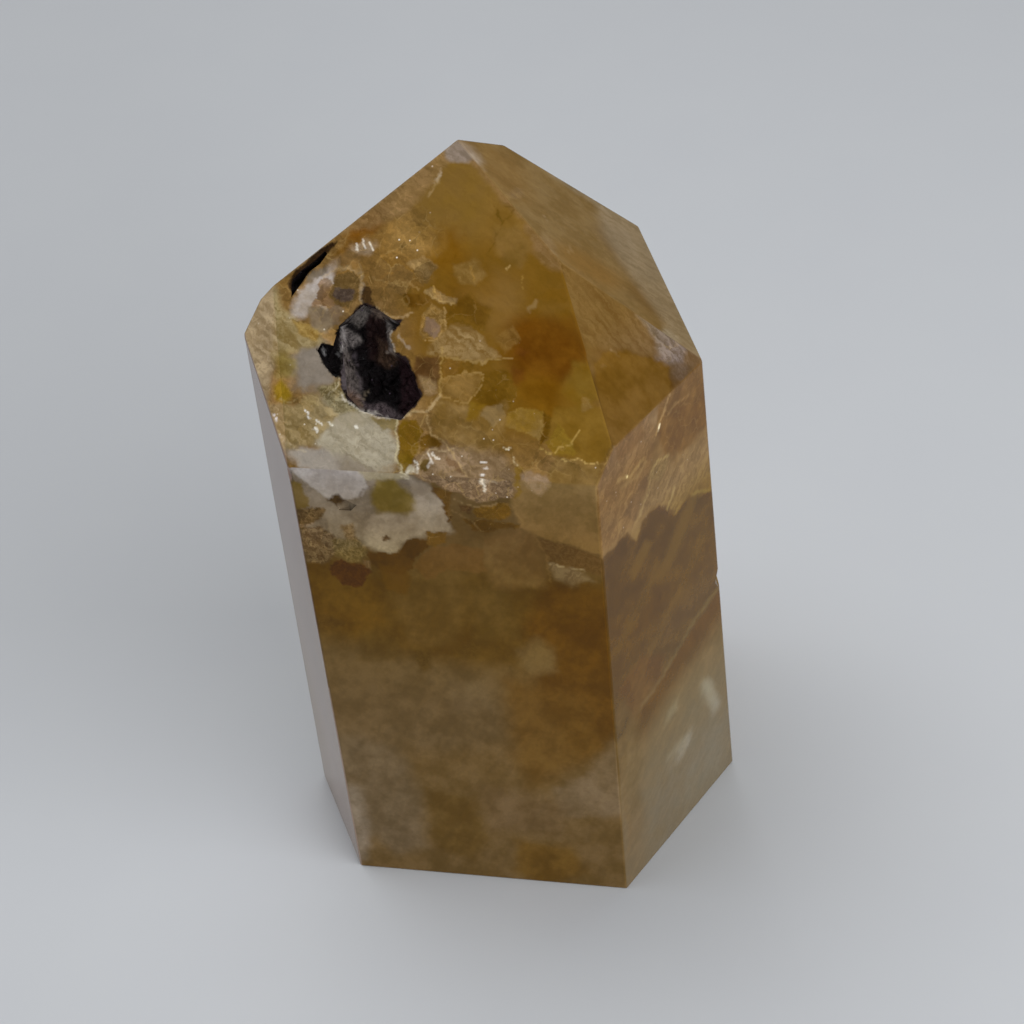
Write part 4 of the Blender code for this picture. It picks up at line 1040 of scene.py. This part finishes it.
def in_flake(points, fade, *corners):
    """How far a flake covers points, before its limits of 0 and 1."""
    starts = np.reshape(corners, (-1, 2))
    ends = np.roll(starts, -1, axis=0)
    edge = apart_from(points, starts, ends)
    return 0.5 + np.where(crosses(points, starts, ends), edge, -edge) / fade


def on_crack(points, width, *corners):
    """How far a crack covers points, before its limits of 0 and 1."""
    path = np.reshape(corners, (-1, 2))
    return CRACK_FADE - apart_from(points, path[:-1], path[1:]) / (width / 2)


def target(look, grow):
    """What a look leaves on a point, four values for each of LAYERS."""
    first, second, field, feel = look.split()[:4]
    weights = [float(field == name) for name in FIELDS]
    return np.array([*to_linear(first), *to_linear(second), *weights, *FEELS[feel], 1.0, *grow, 1.0])


def painted(facet, points, rows=None):
    """What points (mm) on a facet carry for LAYERS, from its own rows of markings or the named ones."""
    tone_and_painted_light = TONE_AND_PAINTED_LIGHT.get(rows or facet)
    facet = RUNS_ON.get(facet, facet)
    turn = math.radians(STREAK_TURNS.get(facet, STRAIGHT_UP))
    grow = facet_frame(facet)[1] @ Matrix.Rotation(turn, 3, "Z").col[0]
    values = np.tile(target(BARE_STONE, grow), (len(points), 1))
    bent = {}
    for table, covers in ((BLOTCHES, in_blotch), (FLAKES, in_flake), (CRACKS, on_crack)):
        for look, fade, strength, *place in table.get(rows or facet, []):
            flow = look.split()[-1] if table is BLOTCHES else "chipped"
            if flow not in bent:
                bent[flow] = on_facet(facet, bend(points, flow))
            share = np.clip(covers(bent[flow], fade, *place), 0, 1)[:, None]
            share = strength * share * share * (3 - 2 * share)
            if table is CRACKS:
                values[:, :8] += CRACK_COVER * share * (np.tile(to_linear(look), 2) - values[:, :8])
            else:
                values += share * (target(look, grow) - values)
    # The stone's tone and painted light and shade, by height up the facet.
    if tone_and_painted_light:
        heights, *channels = zip(*tone_and_painted_light)
        up = on_facet(facet, points)[:, 1]
        for channel, shares in enumerate(channels):
            values[:, [channel, channel + 4]] *= np.interp(up, heights, shares)[:, None]
    return values


def line_hollows(bm):
    """Gives the dark hollows their own material, and crusts them."""
    origin, axes = facet_frame("front_slope")
    lining = []
    for middle, reach in DARK_HOLLOWS.values():
        for face in bm.faces:
            place = axes.transposed() @ (face.calc_center_median() / MM - origin)
            near = math.dist(place.xy, middle) < reach and -LINING_TO < place.z < -LINING_FROM
            if near and face.normal.dot(axes.col[2]) < SAME_WAY:
                lining.append(face)
    for face in lining:
        face.material_index = 1
    bmesh.ops.subdivide_edges(bm, edges=edges_of(lining), cuts=2, use_grid_fill=True)
    bmesh.ops.triangulate(bm, faces=[face for face in bm.faces if face.material_index == 1])
    bm.normal_update()
    for vert in bm.verts:
        if vert.link_faces and all(face.material_index == 1 for face in vert.link_faces):
            vert.co += vert.normal * noise.fractal(vert.co / CRUST_SIZE, 0.6, 2.0, 3) * CRUST_HEIGHT


def read(items, name, kind=int, width=1):
    """One value, or a row of values, from each of a mesh's items."""
    values = np.empty(len(items) * width, kind)
    items.foreach_get(name, values)
    return values.reshape(-1, width) if width > 1 else values


def paint(mesh):
    """Writes the markings onto the mesh, one set of values for each face corner."""
    corners = read(mesh.loops, "vertex_index")
    places = read(mesh.vertices, "co", float, 3) / MM
    sizes = read(mesh.polygons, "loop_total")
    facets = np.repeat(read(mesh.attributes["facet"].data, "value"), sizes)
    dark = np.repeat(read(mesh.polygons, "material_index"), sizes) == 1
    values = np.zeros((len(corners), 4 * len(LAYERS)))
    shared = np.zeros((len(places), 4 * len(LAYERS)))
    times = np.zeros(len(places))
    for number, name in enumerate(FACETS, 1):
        here, row = np.unique(corners[facets == number], return_inverse=True)
        shades = painted(name, places[here])
        values[facets == number] = shades[row]
        shared[here] += shades
        times[here] += 1
    # Rounded edges blend the facets on each side; broken ground takes the facet that it lies nearest.
    heights = [np.abs(places @ np.array(facet_frame(name)[1].col[2]) - FACETS[name][2]) for name in FACETS]
    nearest = np.argmin(heights, axis=0)
    for number, name in enumerate(FACETS):
        here = np.flatnonzero((times == 0) & (nearest == number))
        if len(here):
            shared[here] = painted(name, places[here])
            times[here] = 1
    values[facets == 0] = (shared / times[:, None])[corners[facets == 0]]
    here, row = np.unique(corners[dark], return_inverse=True)
    axes = facet_frame("front_slope")[1]
    depths = FACETS["front_slope"][2] - places[here] @ np.array(axes.col[2])
    slanted = places[here] + depths[:, None] * np.array(axes @ Vector(LINING_SLANT))
    values[dark] = painted("front_slope", slanted, "lining")[row]
    mesh.attributes.remove(mesh.attributes["facet"])
    for layer, part in zip(LAYERS, np.split(values, len(LAYERS), axis=1)):
        made = mesh.attributes.new(layer, "FLOAT_COLOR", "CORNER")
        made.data.foreach_set("color", part.ravel())


def tower():
    """The tower's own solid, with its facets cut fine to carry the markings and its hollows crusted."""
    mesh = frame["nodes"]["quartz_tower"].data.copy()
    mesh.name = "golden_healer_tower"
    mesh.materials.clear()
    bm = bmesh.new()
    bm.from_mesh(mesh)
    bmesh.ops.remove_doubles(bm, verts=bm.verts, dist=MERGED * MM)
    line_hollows(bm)
    mark = bm.faces.layers.int.new("facet")
    owned = {name: [] for name in FACETS}
    for face in bm.faces:
        name = facet_of(face)
        if name:
            owned[name].append(face)
    # Where two facets meet, the finer one divides their edge.
    for name in sorted(FACETS, key=lambda name: min(SPACING[name].values())):
        inside = set(owned[name])
        for edge in edges_of(owned[name]):
            if not set(edge.link_faces) <= inside:
                divide(edge, lambda point: spacing_at(name, on_facet(name, point)[1]))
    whole = {face for faces in owned.values() for face in faces}
    for edge in list(bm.edges):
        if not whole & set(edge.link_faces) and not any(face.material_index for face in edge.link_faces):
            divide(edge, lambda point: BROKEN_SPACING)
    for number, name in enumerate(FACETS, 1):
        for face in refine(bm, owned[name], *facet_frame(name), lambda up: spacing_at(name, up)):
            face[mark] = number
    for face in [face for face in bm.faces if len(face.verts) > 3]:
        out = face.normal.copy()
        across = (face.verts[1].co - face.verts[0].co).normalized()
        axes = Matrix((across, out.cross(across), out)).transposed()
        material = face.material_index
        for made in refine(bm, [face], face.calc_center_median() / MM, axes, lambda up: BROKEN_SPACING):
            made.material_index = material
    bm.normal_update()
    bm.to_mesh(mesh)
    bm.free()
    paint(mesh)
    mesh.materials.append(golden_quartz())
    mesh.materials.append(dark_lining())
    return as_object("golden_healer_tower", mesh)


def camera():
    """The camera, aimed at the tower and rolled."""
    data = bpy.data.cameras.new("camera")
    data.sensor_fit = "HORIZONTAL"
    data.sensor_width = SENSOR
    data.lens = LENS
    data.clip_start = NEAREST
    made = as_object("camera", data)
    back = toward(VIEW_TURN, VIEW_HEIGHT)
    level = Vector((0, 0, 1)).cross(back).normalized()
    across = Matrix.Rotation(math.radians(VIEW_ROLL), 3, back) @ level
    axes = Matrix((across, back.cross(across), back)).transposed()
    made.matrix_world = Matrix.Translation(VIEW_AIM + back * VIEW_DISTANCE) @ axes.to_4x4()
    bpy.context.scene.camera = made


def floor():
    """The sheet of paper that the tower stands on."""
    mesh = bpy.data.meshes.new("floor")
    corners = [(-1, -1), (1, -1), (1, 1), (-1, 1)]
    mesh.from_pydata([(x * FLOOR_HALF, y * FLOOR_HALF, 0) for x, y in corners], [], [(0, 1, 2, 3)])
    mesh.materials.append(paper())
    as_object("floor", mesh)


def world():
    """The faint cool light that comes from all round."""
    made = bpy.data.worlds.new("studio")
    made.use_nodes = True
    sky = made.node_tree.nodes["Background"]
    sky.inputs["Color"].default_value = to_linear(SKY)
    sky.inputs["Strength"].default_value = SKY_STRENGTH
    bpy.context.scene.world = made


def lights():
    """The soft lights round the tower."""
    for name, (turn, height, distance, width, depth, power) in LIGHTS.items():
        data = bpy.data.lights.new(name, "AREA")
        data.shape = "RECTANGLE"
        data.size = width
        data.size_y = depth
        data.energy = power
        made = as_object(name, data)
        made.location = distance * toward(turn, height)
        made.rotation_euler = (-made.location).to_track_quat("-Z", "Y").to_euler()


camera()
floor()
world()
lights()
piece = tower()
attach(piece, "root")
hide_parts("quartz_tower")
bpy.context.scene.view_settings.view_transform = "Standard"
